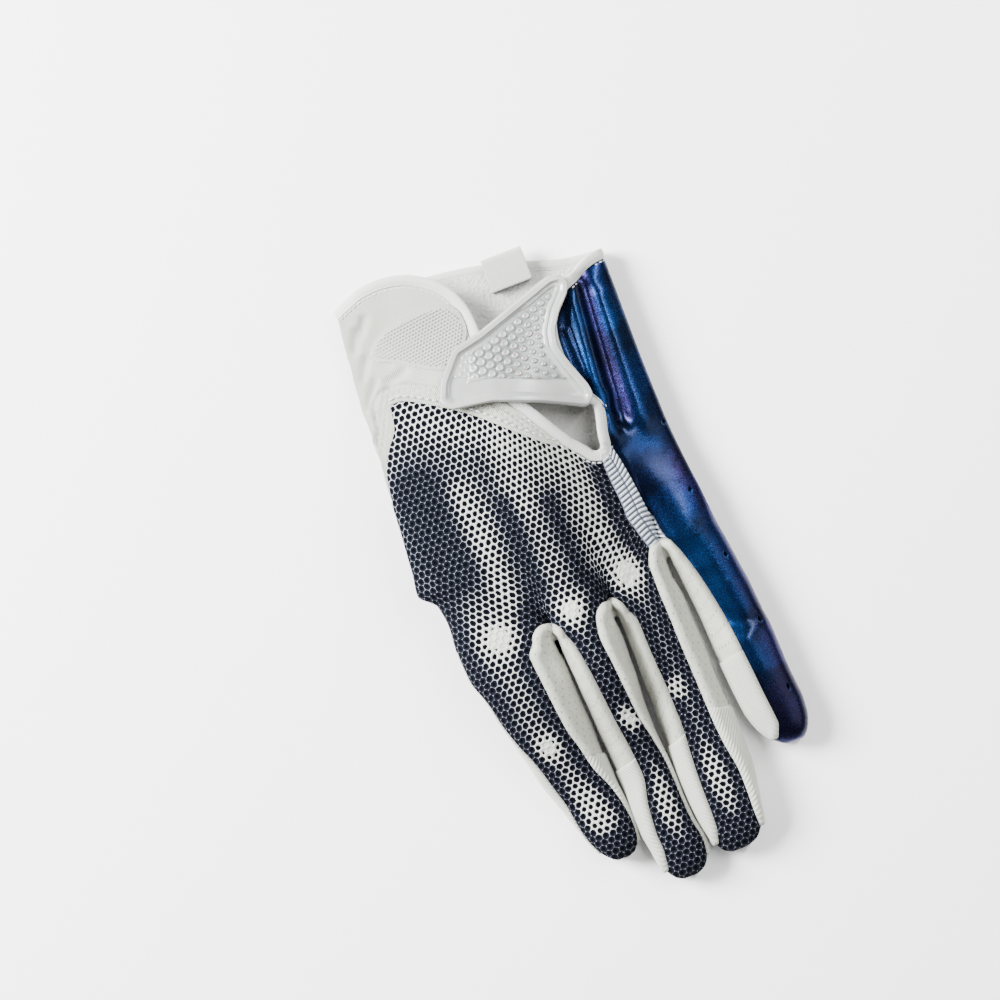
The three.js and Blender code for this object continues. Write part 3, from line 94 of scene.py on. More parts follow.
# Each finger: out from the fork; middle, wide, thick, and the angles where its back panel ends
FINGER_ROWS = {
    "index": [
        (0, -0.312, 0.98, 1, -92, 63),
        (0.04, -0.31, 0.985, 1, -92, 38),
        (0.09, -0.307, 0.985, 1, -92, 26),
        (0.2, -0.291, 0.92, 1, -90, 24),
        (0.3, -0.283, 0.88, 1, -86, 25),
        (0.4, -0.272, 0.84, 1, -73, 25),
        (0.5, -0.261, 0.79, 1, -59, 31),
        (0.6, -0.251, 0.75, 1, -53, 37),
        (0.7, -0.236, 0.68, 0.99, -55, 54),
        (0.8, -0.223, 0.61, 0.97, -66, 70),
        (0.88, -0.212, 0.54, 0.9, -80, 80),
        (0.94, -0.204, 0.44, 0.76, -84, 84),
        (0.98, -0.2, 0.28, 0.46, -90, 90),
        (1, -0.202, 0.15, 0.06, -90, 90),
    ],
    "middle": [
        (0, -0.055, 0.995, 1, -66, 40),
        (0.04, -0.055, 0.995, 1, -50, 28),
        (0.1, -0.055, 0.99, 1, -36, 23),
        (0.2, -0.053, 0.96, 1, -29, 28),
        (0.3, -0.051, 0.93, 1, -25, 33),
        (0.4, -0.049, 0.9, 1, -21, 39),
        (0.5, -0.047, 0.87, 1, -15, 55),
        (0.6, -0.045, 0.855, 1, -12, 70),
        (0.7, -0.044, 0.85, 0.99, -25, 79),
        (0.8, -0.04, 0.855, 0.97, -34, 80),
        (0.88, -0.028, 0.855, 0.9, -42, 82),
        (0.94, -0.024, 0.76, 0.76, -60, 84),
        (0.98, -0.023, 0.52, 0.46, -90, 90),
        (1, -0.025, 0.25, 0.06, -90, 90),
    ],
    "ring": [
        (0, 0.159, 0.89, 1, -66, 29),
        (0.04, 0.162, 0.92, 1, -50, 26),
        (0.1, 0.165, 0.94, 1, -36, 25),
        (0.2, 0.166, 0.955, 1, -35, 25),
        (0.4, 0.167, 0.975, 1, -30, 27),
        (0.5, 0.169, 0.99, 1, -30, 27),
        (0.6, 0.169, 1, 1, -33, 30),
        (0.7, 0.169, 0.99, 0.99, -36, 38),
        (0.8, 0.166, 0.93, 0.97, -37, 45),
        (0.88, 0.164, 0.83, 0.9, -42, 52),
        (0.94, 0.163, 0.71, 0.76, -60, 66),
        (0.98, 0.158, 0.48, 0.46, -90, 90),
        (1, 0.15, 0.21, 0.06, -90, 90),
    ],
    "little": [
        (0, 0.359, 0.935, 1, -50, 90),
        (0.04, 0.362, 0.955, 1, -42, 90),
        (0.1, 0.367, 0.97, 1, -34, 90),
        (0.2, 0.377, 0.97, 1, -27, 90),
        (0.3, 0.385, 0.985, 1, -22, 90),
        (0.4, 0.391, 0.99, 1, -18, 90),
        (0.5, 0.398, 1, 1, -17, 90),
        (0.7, 0.406, 0.97, 0.99, -14, 90),
        (0.8, 0.413, 0.965, 0.97, -14, 90),
        (0.88, 0.421, 0.87, 0.9, -17, 90),
        (0.94, 0.428, 0.68, 0.76, -40, 90),
        (0.98, 0.435, 0.41, 0.46, -90, 90),
        (1, 0.44, 0.15, 0.06, -90, 90),
    ],
}

# The thumb: out from its root; middle, up, wide, thick
THUMB_START = 0.14
THUMB_ROWS = [
    (0, -0.31, 0.68, 0.72, 0.8),
    (0.09, -0.318, 0.68, 0.84, 0.9),
    (0.21, -0.32, 0.62, 0.92, 0.96),
    (0.34, -0.32, 0.53, 0.94, 1),
    (0.46, -0.313, 0.43, 0.94, 1),
    (0.6, -0.29, 0.42, 0.92, 1),
    (0.76, -0.26, 0.42, 0.88, 0.98),
    (0.87, -0.24, 0.42, 0.78, 0.92),
    (0.94, -0.228, 0.42, 0.58, 0.76),
    (0.98, -0.224, 0.42, 0.34, 0.46),
    (1, -0.224, 0.42, 0.15, 0.06),
]

# Folds of the back: across, along, across at the far end, along there; reach, height in walls
FOLDS = [
    (0.285, 0.12, 0.235, 0.62, 0.026, 1.3),
    (0.325, 0.12, 0.29, 0.58, 0.024, -1.5),
    (0.37, 0.14, 0.36, 0.62, 0.024, 0.7),
    (-0.44, 0.87, -0.33, 0.92, 0.03, 0.8),
    (0.34, 1.06, 0.385, 1.3, 0.035, -1.4),
]

# Free edges and seams, as places across and along
SLIT_BOTTOM = [(0.132, 0.642), (0.152, 0.668), (0.182, 0.68), (0.21, 0.669), (0.224, 0.642)]
SLIT_LEFT = [
    (0.132, 0.642),
    (0.094, 0.6),
    (0.05, 0.53),
    (0.012, 0.468),
    (-0.026, 0.41),
    (-0.05, 0.34),
    (-0.06, 0.25),
    (-0.062, 0.16),
    (-0.068, 0.09),
    (-0.09, 0.032),
    (-0.13, -0.015),
    (-0.19, -0.054),
    (-0.26, -0.072),
    (-0.34, -0.07),
    (-0.4, -0.05),
    (-0.435, -0.036),
]
CUFF_BELOW = [
    (-0.41, -0.03),
    (-0.31, -0.035),
    (-0.2, -0.036),
    (-0.1, -0.03),
    (0, -0.016),
    (0.1, 0.008),
    (0.2, 0.038),
    (0.28, 0.063),
    (0.35, 0.075),
    (0.4, 0.08),
]
SLIT_RIGHT = [
    (0.4, 0.086),
    (0.36, 0.096),
    (0.31, 0.122),
    (0.26, 0.147),
    (0.222, 0.188),
    (0.196, 0.24),
    (0.186, 0.31),
    (0.192, 0.38),
    (0.208, 0.44),
    (0.232, 0.486),
    (0.246, 0.515),
    (0.24, 0.56),
    (0.229, 0.605),
    (0.224, 0.642),
]
BACK_TOP = [
    (-0.38, 0.285),
    (-0.34, 0.285),
    (-0.25, 0.335),
    (-0.15, 0.405),
    (-0.04, 0.505),
    (0.05, 0.58),
    (0.094, 0.6),
]
BACK_SIDE = [(-0.38, 0.285), (-0.395, 0.36), (-0.43, 0.41), (-0.46, 0.46), (-0.477, 0.52)]
BACK_RIGHT = [(0.182, 0.68), (0.185, 0.75), (0.192, 0.84), (0.205, 0.93), (0.226, 1.003)]
WRAP_LEFT = [
    (0.224, 0.642),
    (0.238, 0.7),
    (0.252, 0.79),
    (0.265, 0.89),
    (0.278, 0.96),
    (0.293, 1.004),
]
SIDE_SEAM = -100
SIDE_SEAM_START = 0.7
SIDE_SEAM_END = 1.08
WRIST_SEAM = -135
WRIST_SEAM_CUFF = -0.034
FORKS = [
    {"back": (-0.18, 1.11), "crotch": (-0.156, 1.16), "palm": (-0.156, 1.13)},
    {"back": (0.045, 1.11), "crotch": (0.046, 1.16), "palm": (0.047, 1.13)},
    {"back": (0.26, 0.99), "crotch": (0.269, 1.05), "palm": (0.27, 1.02)},
]
PALM_EDGE = 125
GUSSET_END = 0.54
STRIP_END = 0.94

# Ink of the print: across, along, across and along at the far end; reach, change of the dots' size
INK = [
    (-0.32, 1.09, -0.32, 1.09, 0.055, -1.1),
    (-0.08, 1.09, -0.08, 1.09, 0.042, -1.1),
    (0.13, 1.04, 0.13, 1.05, 0.045, -1.2),
    (-0.3, 1.46, -0.3, 1.47, 0.033, -1.1),
    (-0.035, 1.46, -0.02, 1.48, 0.026, -1.1),
    (0.14, 1.43, 0.14, 1.44, 0.026, -1.0),
    (-0.26, 1.67, -0.24, 1.74, 0.07, -0.4),
    (-0.03, 1.7, -0.02, 1.78, 0.055, -0.4),
    (0.14, 1.7, 0.15, 1.77, 0.06, -0.4),
    (-0.27, 0.62, -0.25, 1.0, 0.033, -0.34),
    (0.08, 0.6, 0.1, 0.96, 0.036, -0.32),
    (-0.1, 0.55, -0.1, 0.72, 0.04, -0.18),
    (-0.3, 0.36, 0.02, 0.6, 0.05, -0.2),
    (-0.1, 0.5, 0.1, 0.66, 0.045, -0.12),
    (-0.17, 0.5, -0.2, 0.95, 0.03, 0.1),
    (-0.4, 0.58, -0.38, 0.85, 0.085, 0.42),
    (-0.02, 0.74, -0.01, 1.0, 0.032, 0.26),
    (-0.15, 0.7, -0.15, 0.98, 0.03, 0.3),
    (0.18, 0.74, 0.2, 0.98, 0.035, 0.28),
    (-0.45, 0.95, -0.4, 1.3, 0.05, 0.25),
    (-0.2, 1.05, -0.2, 1.07, 0.06, 0.3),
    (0.03, 1.04, 0.03, 1.06, 0.05, 0.3),
]

# Hue of the film, from bright blue to dark violet, holding painted light: negative changes paint brighter
# azure highlights along ridges, positive ones paint darker violet shade in troughs and where the film turns
# down towards the little-finger edge; across, along, far end; reach, change
HUE_AND_PAINTED_LIGHT = [
    (0.33, 0.1, 0.31, 0.58, 0.025, 0.75),
    (0.45, 0.1, 0.43, 0.8, 0.05, 0.55),
    (0.46, 0.8, 0.52, 1.6, 0.06, 0.7),
    (0.43, 1.62, 0.44, 1.75, 0.08, 0.6),
    (0.27, 0.16, 0.24, 0.6, 0.02, -0.5),
    (0.35, 1.05, 0.39, 1.33, 0.035, -0.4),
]

# Diamond-shaped holes along the little-finger edge and, by angle and first place, on the thumb
EDGE_HOLES = [(0.41, 0.64), (0.41, 0.87), (0.44, 1.1), (0.47, 1.33), (0.475, 1.56)]
THUMB_HOLES = [(146, 0.36, 5), (180, 0.41, 5), (214, 0.36, 4)]
HOLE_PITCH = 11.6

# Creases of the film on the back: across, along, far end; reach, height in millimetres
CREASES = [
    (0.285, 0.16, 0.236, 0.56, 0.024, 0.6),
    (0.33, 0.16, 0.3, 0.55, 0.024, -0.5),
    (0.375, 0.2, 0.352, 0.6, 0.026, 0.4),
    (0.25, 0.5, 0.3, 0.6, 0.02, -0.6),
    (0.27, 0.5, 0.25, 0.63, 0.02, 0.5),
    (0.4, 1.33, 0.46, 1.31, 0.024, -0.5),
    (0.41, 1.38, 0.42, 1.45, 0.03, 0.5),
    (0.33, 1.1, 0.36, 1.3, 0.02, -0.5),
]

# Soft grooves pressed into the flap beside the thumb: across, along, far end
GROOVES = [
    (-0.385, 0.04, -0.36, 0.0),
    (-0.425, 0.08, -0.4, 0.03),
    (-0.43, 0.17, -0.4, 0.12),
    (-0.44, 0.26, -0.4, 0.2),
    (-0.36, 0.22, -0.3, 0.2),
]

# The fingers beside each fork
SIDES = [("index", "middle"), ("middle", "ring"), ("ring", "little")]

# Round top of a gusset on the back: how far it passes the fork's end, and where its points turn
ARCH_RISE = 0.014
ARCH_TURNS = (150, 120, 90, 60, 30)

# Outline of the tab: across, along
TAB_OUTLINE = [
    (0.205, 0.082),
    (0.245, 0.088),
    (0.258, 0.118),
    (0.25, 0.148),
    (0.203, 0.2),
    (0.172, 0.252),
    (0.163, 0.3),
    (0.178, 0.36),
    (0.208, 0.45),
    (0.21, 0.485),
    (0.182, 0.512),
    (0.06, 0.448),
    (-0.07, 0.392),
    (-0.19, 0.372),
    (-0.214, 0.335),
    (-0.19, 0.275),
    (-0.125, 0.193),
    (-0.04, 0.172),
]

# The tab's middle, height above the back, pitch of its rounds and how far their rows turn
TAB_MIDDLE = (0.04, 0.28)
TAB_LOW = max(2 * GAP + PAD_THICKNESS, 2 * GAP + STRAP_THICKNESS) + 2 * GAP
TAB_PITCH = 2.9
TAB_TURN = -20

# Heights on the tab in millimetres
TAB_RIM = 0.95
TAB_SECOND_RIM = 0.5
TAB_SUNK = 0.45
TAB_ROUND = 0.55
TAB_NUB = 0.35
TAB_RECESS = 0.35

# Outline of the dotted pad: across, along
PAD_OUTLINE = [
    (-0.385, 0.115),
    (-0.36, 0.08),
    (-0.3, 0.045),
    (-0.2, 0.032),
    (-0.11, 0.04),
    (-0.07, 0.075),
    (-0.062, 0.15),
    (-0.12, 0.225),
    (-0.17, 0.248),
    (-0.24, 0.215),
    (-0.32, 0.16),
    (-0.37, 0.14),
]

# The pad's middle and the pitch of its dots
PAD_MIDDLE = (-0.2, 0.13)
PAD_PITCH = 1.12

# Where the cap of the thumb's tip begins, and how much later at its sides
CAP_FROM = 0.78
CAP_BOW = 0.1

# Columns of each finger on the back and below, rows out to a tip, and ribs of the insert
BACK_COUNTS = (48, 40, 40)
PALM_COUNTS = (28, 28, 22, 22, 36)
LOBE_ROWS = 84
RIBS = 21

# Pitch of the printed dots and of the leather's pinholes, and the colour of white cloth
PRINT_PITCH = 2.3
PINHOLE_PITCH = 2.9
WHITE = (0.5, 0.51, 0.455)


def across(share):
    """A share of the hand's width in millimetres."""
    return np.asarray(share, float) * GLOVE_WIDTH


def along(share):
    """A share of the palm's length in millimetres."""
    return np.asarray(share, float) * PALM_LENGTH


def mixed(a, b, share):
    """The value at a share of the way from a to b."""
    return a + (b - a) * share


def smooth(value, low, high):
    """Rises smoothly from 0 at the low value to 1 at the high one."""
    share = np.clip((np.asarray(value, float) - low) / (high - low), 0, 1)
    return share * share * (3 - 2 * share)


# The hand's axes are shifted into the row frame: the webbing loop's box says by how much
LOOP = {"left": 0.05, "right": 0.185, "sewn": 0.065, "fold": -0.045}
loop_low, loop_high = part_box("pull_loop")
SHIFT = np.array([loop_low.x / MM - across(LOOP["left"]), loop_high.y / MM + along(LOOP["fold"]), 0])


def reader(x, y):
    """Reads a table's column at any place, along a smooth curve that keeps to the rows' values."""
    h = np.diff(x)
    secant = np.diff(y) / h
    before, after = secant[:-1], secant[1:]
    same = before * after > 0
    middle = np.where(same, 2 * before * after / np.where(same, before + after, 1), 0)
    slope = np.concatenate([secant[:1], middle, secant[-1:]])

    def read(at):
        at = np.clip(at, x[0], x[-1])
        i = np.clip(np.searchsorted(x, at) - 1, 0, len(h) - 1)
        f = (at - x[i]) / h[i]
        bend = f * (1 - f) * ((1 - f) * slope[i] - f * slope[i + 1]) * h[i]
        return mixed(y[i], y[i + 1], f * f * (3 - 2 * f)) + bend

    return read


def columns(rows, names):
    """Readers of a table's columns by name, over its first column."""
    values = np.array(rows, float)
    return {name: reader(values[:, 0], values[:, i + 1]) for i, name in enumerate(names.split())}


body = columns(BODY, "left right thick")
thumb = columns(THUMB_ROWS, "middle up wide thick")
FORK_OF = {"index": 0, "middle": 0, "ring": 1, "little": 2}
fingers = {}
for name, rows in FINGER_ROWS.items():
    fingers[name] = columns(rows, "middle wide thick radial ulnar")
    fingers[name]["length"] = FINGER_LENGTHS[name]
    fingers[name]["width"] = FINGER_WIDTHS[name]
    fingers[name]["fork"] = float(along(FORKS[FORK_OF[name]]["back"][1]))


def near_lines(rows, s, t):
    """The sum of a table's lines at a place: each adds its change, fading over its reach."""
    total = np.zeros(np.broadcast(s, t).shape)
    for s0, t0, s1, t1, reach, change in rows:
        a = np.array([across(s0), along(t0)])
        way = np.array([across(s1), along(t1)]) - a
        size = max(float(way @ way), 1e-9)
        share = np.clip(((s - a[0]) * way[0] + (t - a[1]) * way[1]) / size, 0, 1)
        off = (s - a[0] - share * way[0]) ** 2 + (t - a[1] - share * way[1]) ** 2
        total = total + change * np.exp(-off / float(across(reach)) ** 2)
    return total


def raised(s, t):
    """How far the palm is raised where it lies on the folded thumb."""
    tip = along(THUMB_START) + THUMB_LENGTH
    fall = 1 - smooth(t, tip - along(0.02), tip + along(0.44))
    side = 1 - smooth(s, across(-0.09), across(0.22))
    return RAISE * smooth(t, along(0.05), along(0.55)) * fall * side


def level(angle):
    """Height of a section at an angle from its top, from 1 on the back to -1 below."""
    height = np.cos(np.radians(angle))
    size = np.maximum(np.abs(height), 1e-12)
    return np.where(height > 0, size**FLATNESS_ABOVE, -(size**FLATNESS_BELOW))


def lay(s, t, z, on_back, depth):
    """Adds the folds and the rise over the thumb, and keeps it off the floor."""
    high = z + np.maximum(on_back, 0) * WALL * near_lines(FOLDS, s, t) + raised(s, t)
    s, t, high = np.broadcast_arrays(s, t, np.maximum(high, depth))
    return np.stack([s, -t, high], -1)


def finger_point(finger, angle, t, depth=0):
    """A point of a finger's skin, by angle from its top and place along."""
    out = np.clip((t - finger["fork"]) / finger["length"], 0, 1)
    half = finger["wide"](out) * finger["width"] / 2 - depth
    high = np.maximum(finger["thick"](out) * FINGER_THICKNESS / 2 - depth, SEAM_HALF)
    s = across(finger["middle"](out)) + half * np.sin(np.radians(angle))
    up = level(angle)
    z = FINGER_THICKNESS / 2 - PRESS + high * up
    return lay(s, t - depth * smooth(out, 0.86, 1), z, up, depth)


def finger_height(s, t, depth, flatness):
    """Half the height of the fingers' sections seen at a place."""
    high = np.zeros(np.broadcast(s, t).shape)
    for finger in fingers.values():
        out = np.clip((t - finger["fork"]) / finger["length"], 0, 1)
        half = finger["wide"](out) * finger["width"] / 2 - depth
        share = (s - across(finger["middle"](out))) / half
        rise = np.maximum(1 - share * share, 0) ** (flatness / 2)
        high = np.maximum(high, (finger["thick"](out) * FINGER_THICKNESS / 2 - depth) * rise)
    return high


def body_point(angle, t, depth=0):
    """A point of the hand's skin: 0 degrees is the back, 90 the little-finger edge, -90 the thumb's."""
    angle, t = np.broadcast_arrays(np.asarray(angle, float), np.asarray(t, float))
    share = t / PALM_LENGTH
    left, right = across(body["left"](share)), across(body["right"](share))
    full = body["thick"](share) * BODY_THICKNESS / 2
    s = (left + right) / 2 + ((right - left) / 2 - depth) * np.sin(np.radians(angle))
    up = level(angle)
    flatness = np.where(up > 0, FLATNESS_ABOVE, FLATNESS_BELOW)
    low, high_fork = fingers["little"]["fork"], fingers["index"]["fork"]
    fork = mixed(high_fork, low, smooth(s, across(0.2), across(0.3)))
    near = smooth(t, fork - along(0.32), fork)
    high = mixed(np.abs(up) * (full - depth), finger_height(s, t, depth, flatness), near)
    centre = mixed(full, FINGER_THICKNESS / 2, near) - PRESS
    return lay(s, t, centre + np.sign(up) * high, up, depth)


def thumb_point(angle, out, depth=0):
    """A point of the thumb's skin, by angle and share of its length."""
    half = thumb["wide"](out) * THUMB_WIDTH / 2 - depth
    high = np.maximum(thumb["thick"](out) * THUMB_THICKNESS / 2 - depth, SEAM_HALF)
    s = across(thumb["middle"](out)) + half * np.sin(np.radians(angle))
    t = along(THUMB_START) + out * THUMB_LENGTH - depth * smooth(out, 0.86, 1)
    z = thumb["up"](out) * THUMB_THICKNESS + high * level(angle)
    s, t, z = np.broadcast_arrays(s, t, np.maximum(z, depth))
    return np.stack([s, -t, z], -1)


def body_angle(s, t, on_palm=False):
    """Body angle of a place seen from above or, on the palm, from below."""
    share = np.asarray(t, float) / PALM_LENGTH
    left, right = across(body["left"](share)), across(body["right"](share))
    ratio = np.clip((s - (left + right) / 2) / ((right - left) / 2), -1, 1)
    angle = np.degrees(np.arcsin(ratio))
    return 180 - angle if on_palm else angle


def on_body(points, on_palm=False):
    """Turns places seen from above into body angles and places along."""
    places = np.array(points, float)
    t = along(places[:, 1])
    return np.stack([body_angle(across(places[:, 0]), t, on_palm), t], -1)


def spline(points, count):
    """Evenly spaced points of a smooth curve through the given ones."""
    p = np.array(points, float)
    if len(p) == 2:
        return mixed(p[0], p[1], np.linspace(0, 1, count + 1)[:, None])
    p = np.concatenate([[2 * p[0] - p[1]], p, [2 * p[-1] - p[-2]]])
    gap = np.maximum(np.linalg.norm(np.diff(p, axis=0), axis=1) ** 0.5, 1e-4)
    fine = []
    f = np.linspace(0, 1, 40, endpoint=False)[:, None]
    for i in range(1, len(p) - 2):
        before, here, after = gap[i - 1], gap[i], gap[i + 1]
        chord = p[i + 1] - p[i]
        bend_in = ((p[i] - p[i - 1]) / before - (p[i + 1] - p[i - 1]) / (before + here)) * here + chord
        bend_out = ((p[i + 2] - p[i + 1]) / after - (p[i + 2] - p[i]) / (here + after)) * here + chord
        cubic = 2 * p[i] - 2 * p[i + 1] + bend_in + bend_out
        square = -3 * p[i] + 3 * p[i + 1] - 2 * bend_in - bend_out
        fine.append(p[i] + f * bend_in + f**2 * square + f**3 * cubic)
    fine = np.concatenate(fine + [p[-2:-1]])
    run = np.concatenate([[0], np.cumsum(np.linalg.norm(np.diff(fine, axis=0), axis=1))])
    at = np.linspace(0, run[-1], count + 1)
    return np.stack([np.interp(at, run, fine[:, k]) for k in range(fine.shape[1])], -1)


def curve(points, count):
    """A smooth curve on the body, evenly spaced, as body angles and places along."""
    scale = np.array([math.radians(1) * GLOVE_WIDTH / 2, 1])
    return spline(np.array(points, float) * scale, count) / scale


def chain(*lines):
    """Joins lines that share their end points."""
    return np.concatenate([line if i == 0 else line[1:] for i, line in enumerate(lines)])


def turned(points, angle):
    """Body angles moved by a whole turn."""
    return np.array(points, float) + [angle, 0]


def patch(top, bottom, left, right):
    """A patch between four edges that share their corners."""
    u = np.linspace(0, 1, len(top))[None, :, None]
    v = np.linspace(0, 1, len(left))[:, None, None]
    sides = mixed(top[None], bottom[None], v) + mixed(left[:, None], right[:, None], u)
    return sides - mixed(mixed(top[0], top[-1], u), mixed(bottom[0], bottom[-1], u), v)


def between(*corners, counts):
    """Points along straight runs between corners."""
    parts = [mixed(np.array(a), np.array(b), np.linspace(0, 1, n, endpoint=False)[:, None])
             for a, b, n in zip(corners, corners[1:], counts)]
    return np.concatenate(parts + [np.array(corners[-1:])])


fork_back = [on_body([fork["back"]])[0] for fork in FORKS]
fork_palm = [on_body([fork["palm"]], True)[0] for fork in FORKS]
side_corner = np.array([SIDE_SEAM, along(SIDE_SEAM_END)])
side_top = np.array([SIDE_SEAM, along(SIDE_SEAM_START)])
wrist_corner = np.array([WRIST_SEAM, along(WRIST_SEAM_CUFF)])
back_corner = on_body(BACK_RIGHT[-1:])[0]
wrap_corner = on_body(WRAP_LEFT[-1:])[0]
below = turned(on_body(CUFF_BELOW, True), -360)
flap_places = np.concatenate([
    on_body(SLIT_LEFT[1:]),
    below[below[:, 0] > WRIST_SEAM + 5],
    [wrist_corner],
])
palm_cuff_places = np.concatenate([
    [wrist_corner],
    below[below[:, 0] < WRIST_SEAM - 5],
    turned(on_body(SLIT_RIGHT), -360),
])
back_slit_places = on_body([SLIT_LEFT[1], *SLIT_BOTTOM[:3]])


def ripple(points, size, seed=0, stretch=(1, 1, 1)):
    """Smooth unevenness from -1 to 1, of about the given size."""
    scaled = points * np.array(stretch) / size + seed * 17.3
    flat = scaled.reshape(-1, 3)
    values = [noise.noise(Vector(p)) for p in flat.tolist()]
    return np.array(values).reshape(scaled.shape[:-1])


class Skin:
    """A piece of cloth as outer and inner points, its faces, and the place of each point in the flat."""

    def __init__(self):
        self.outer = np.zeros((0, 3))
        self.inner = np.zeros((0, 3))
        self.flat = np.zeros((0, 2))
        self.faces = []

    def add(self, outer, inner, flat, around=False):
        rows, count = outer.shape[:2]
        number = len(self.outer) + np.arange(rows * count).reshape(rows, count)
        if around:
            number = np.concatenate([number, number[:, :1]], 1)
        quads = [number[:-1, :-1], number[:-1, 1:], number[1:, 1:], number[1:, :-1]]
        self.faces.append(np.stack(quads, -1).reshape(-1, 4))
        self.outer = np.concatenate([self.outer, outer.reshape(-1, 3)])
        self.inner = np.concatenate([self.inner, inner.reshape(-1, 3)])
        self.flat = np.concatenate([self.flat, flat.reshape(-1, 2)])
        return self

    def weld(self):
        """Joins the points that lie in one place and finds the faces' free edges."""
        _, first, new = np.unique(np.round(self.outer, 2), axis=0, return_index=True, return_inverse=True)
        new = new.reshape(-1)
        self.outer, self.inner, self.flat = self.outer[first], self.inner[first], self.flat[first]
        faces = new[np.concatenate(self.faces)]
        repeats = (faces == np.roll(faces, -1, 1)).sum(1)
        opposite = (faces[:, 0] == faces[:, 2]) | (faces[:, 1] == faces[:, 3])
        self.quads = faces[(repeats < 2) & ~opposite]
        edges = np.concatenate([self.quads[:, [k, (k + 1) % 4]] for k in range(4)])
        edges = edges[edges[:, 0] != edges[:, 1]]
        size = len(self.outer)
        code, back = edges[:, 0] * size + edges[:, 1], edges[:, 1] * size + edges[:, 0]
        self.border = edges[~np.isin(code, back)]
        a, b, c, d = (self.outer[self.quads[:, k]] for k in range(4))
        facing = np.cross(c - a, d - b)
        self.normals = np.zeros_like(self.outer)
        for k in range(4):
            np.add.at(self.normals, self.quads[:, k], facing)
        if ((self.outer - self.inner) * self.normals).sum() < 0:
            self.quads = self.quads[:, ::-1]
            self.border = self.border[:, ::-1]
            self.normals = -self.normals
        self.normals /= np.maximum(np.linalg.norm(self.normals, axis=1, keepdims=True), 1e-9)
        self.edge = self.distance_to(self.outer[np.unique(self.border)])
        return self

    def distance_to(self, places):
        near = np.full(len(self.outer), 1e9)
        for start in range(0, len(places), 64):
            some = places[start : start + 64]
            off = np.linalg.norm(self.outer[:, None] - some[None], axis=2).min(1)
            near = np.minimum(near, off)
        return near

    @property
    def s(self):
        return self.outer[:, 0]

    @property
    def t(self):
        return -self.outer[:, 1]

    def push(self, height):
        """Moves the outer skin out by the given height at each point, and never below the floor."""
        self.outer = self.outer + self.normals * np.asarray(height)[:, None]
        self.outer[:, 2] = np.maximum(self.outer[:, 2], 0)
        return self

    def soften(self, rounds, share):
        """Evens out the outer skin's height by a share at each point."""
        pairs = np.concatenate([self.quads[:, [k, (k + 1) % 4]] for k in range(4)])
        pairs = np.concatenate([pairs, pairs[:, ::-1]])
        size = len(self.outer)
        count = np.maximum(np.bincount(pairs[:, 0], minlength=size), 1)
        for _ in range(rounds):
            total = np.bincount(pairs[:, 0], self.outer[pairs[:, 1], 2], size)
            self.outer[:, 2] += (total / count - self.outer[:, 2]) * share
        return self

    def piece(self, name, material, slot, nodes=(), **fields):
        size = len(self.outer)
        places = np.concatenate([self.outer, self.inner])
        walls = np.stack([self.border[:, 1], self.border[:, 0],
                          self.border[:, 0] + size, self.border[:, 1] + size], -1)
        faces = np.concatenate([self.quads, self.quads[:, ::-1] + size, walls])
        flat = np.concatenate([self.flat, self.flat])
        fields = {key: np.concatenate([value, value]) for key, value in fields.items()}
        return make_piece(name, places, faces, material, slot, nodes, flat, **fields)


def make_piece(name, places, faces, material, slot, nodes=(), flat=None, **fields):
    """A mesh in the row frame from points in the hand's axes, riding on the part's only body."""
    polygons = []
    for face in np.asarray(faces).tolist():
        corners = [c for i, c in enumerate(face) if c != face[i - 1]]
        if len(corners) > 2:
            polygons.append(corners)
    mesh = bpy.data.meshes.new(name)
    mesh.from_pydata(((np.asarray(places) + SHIFT) * MM).tolist(), [], polygons)
    mesh.shade_smooth()
    if flat is not None:
        layer = mesh.uv_layers.new(name="cloth")
        corner_of = np.zeros(len(mesh.loops), np.int32)
        mesh.loops.foreach_get("vertex_index", corner_of)
        layer.data.foreach_set("uv", np.asarray(flat, np.float32)[corner_of].ravel())
    for key, value in fields.items():
        mesh.attributes.new(key, "FLOAT", "POINT").data.foreach_set("value", value.astype(np.float32))
    mesh.materials.append(material)
    piece = bpy.data.objects.new(name, mesh)
    bpy.context.scene.collection.objects.link(piece)
    if nodes:
        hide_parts(*nodes)
    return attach(piece, "root")


def flat_rows(outer, centre=None):
    """Flat places of rows of points: along the cloth from where it passes the centre, and along t."""
    run = np.linalg.norm(np.diff(outer, axis=1), axis=2)
    run = np.concatenate([np.zeros((len(outer), 1)), np.cumsum(run, 1)], 1)
    if centre is not None:
        at = np.abs(outer[:, :, 0] - centre[:, None]).argmin(1)
        rows = np.arange(len(outer))
        run = run - run[rows, at][:, None] + outer[rows, at, 0][:, None]
    return np.stack([run, -outer[:, :, 1]], -1)


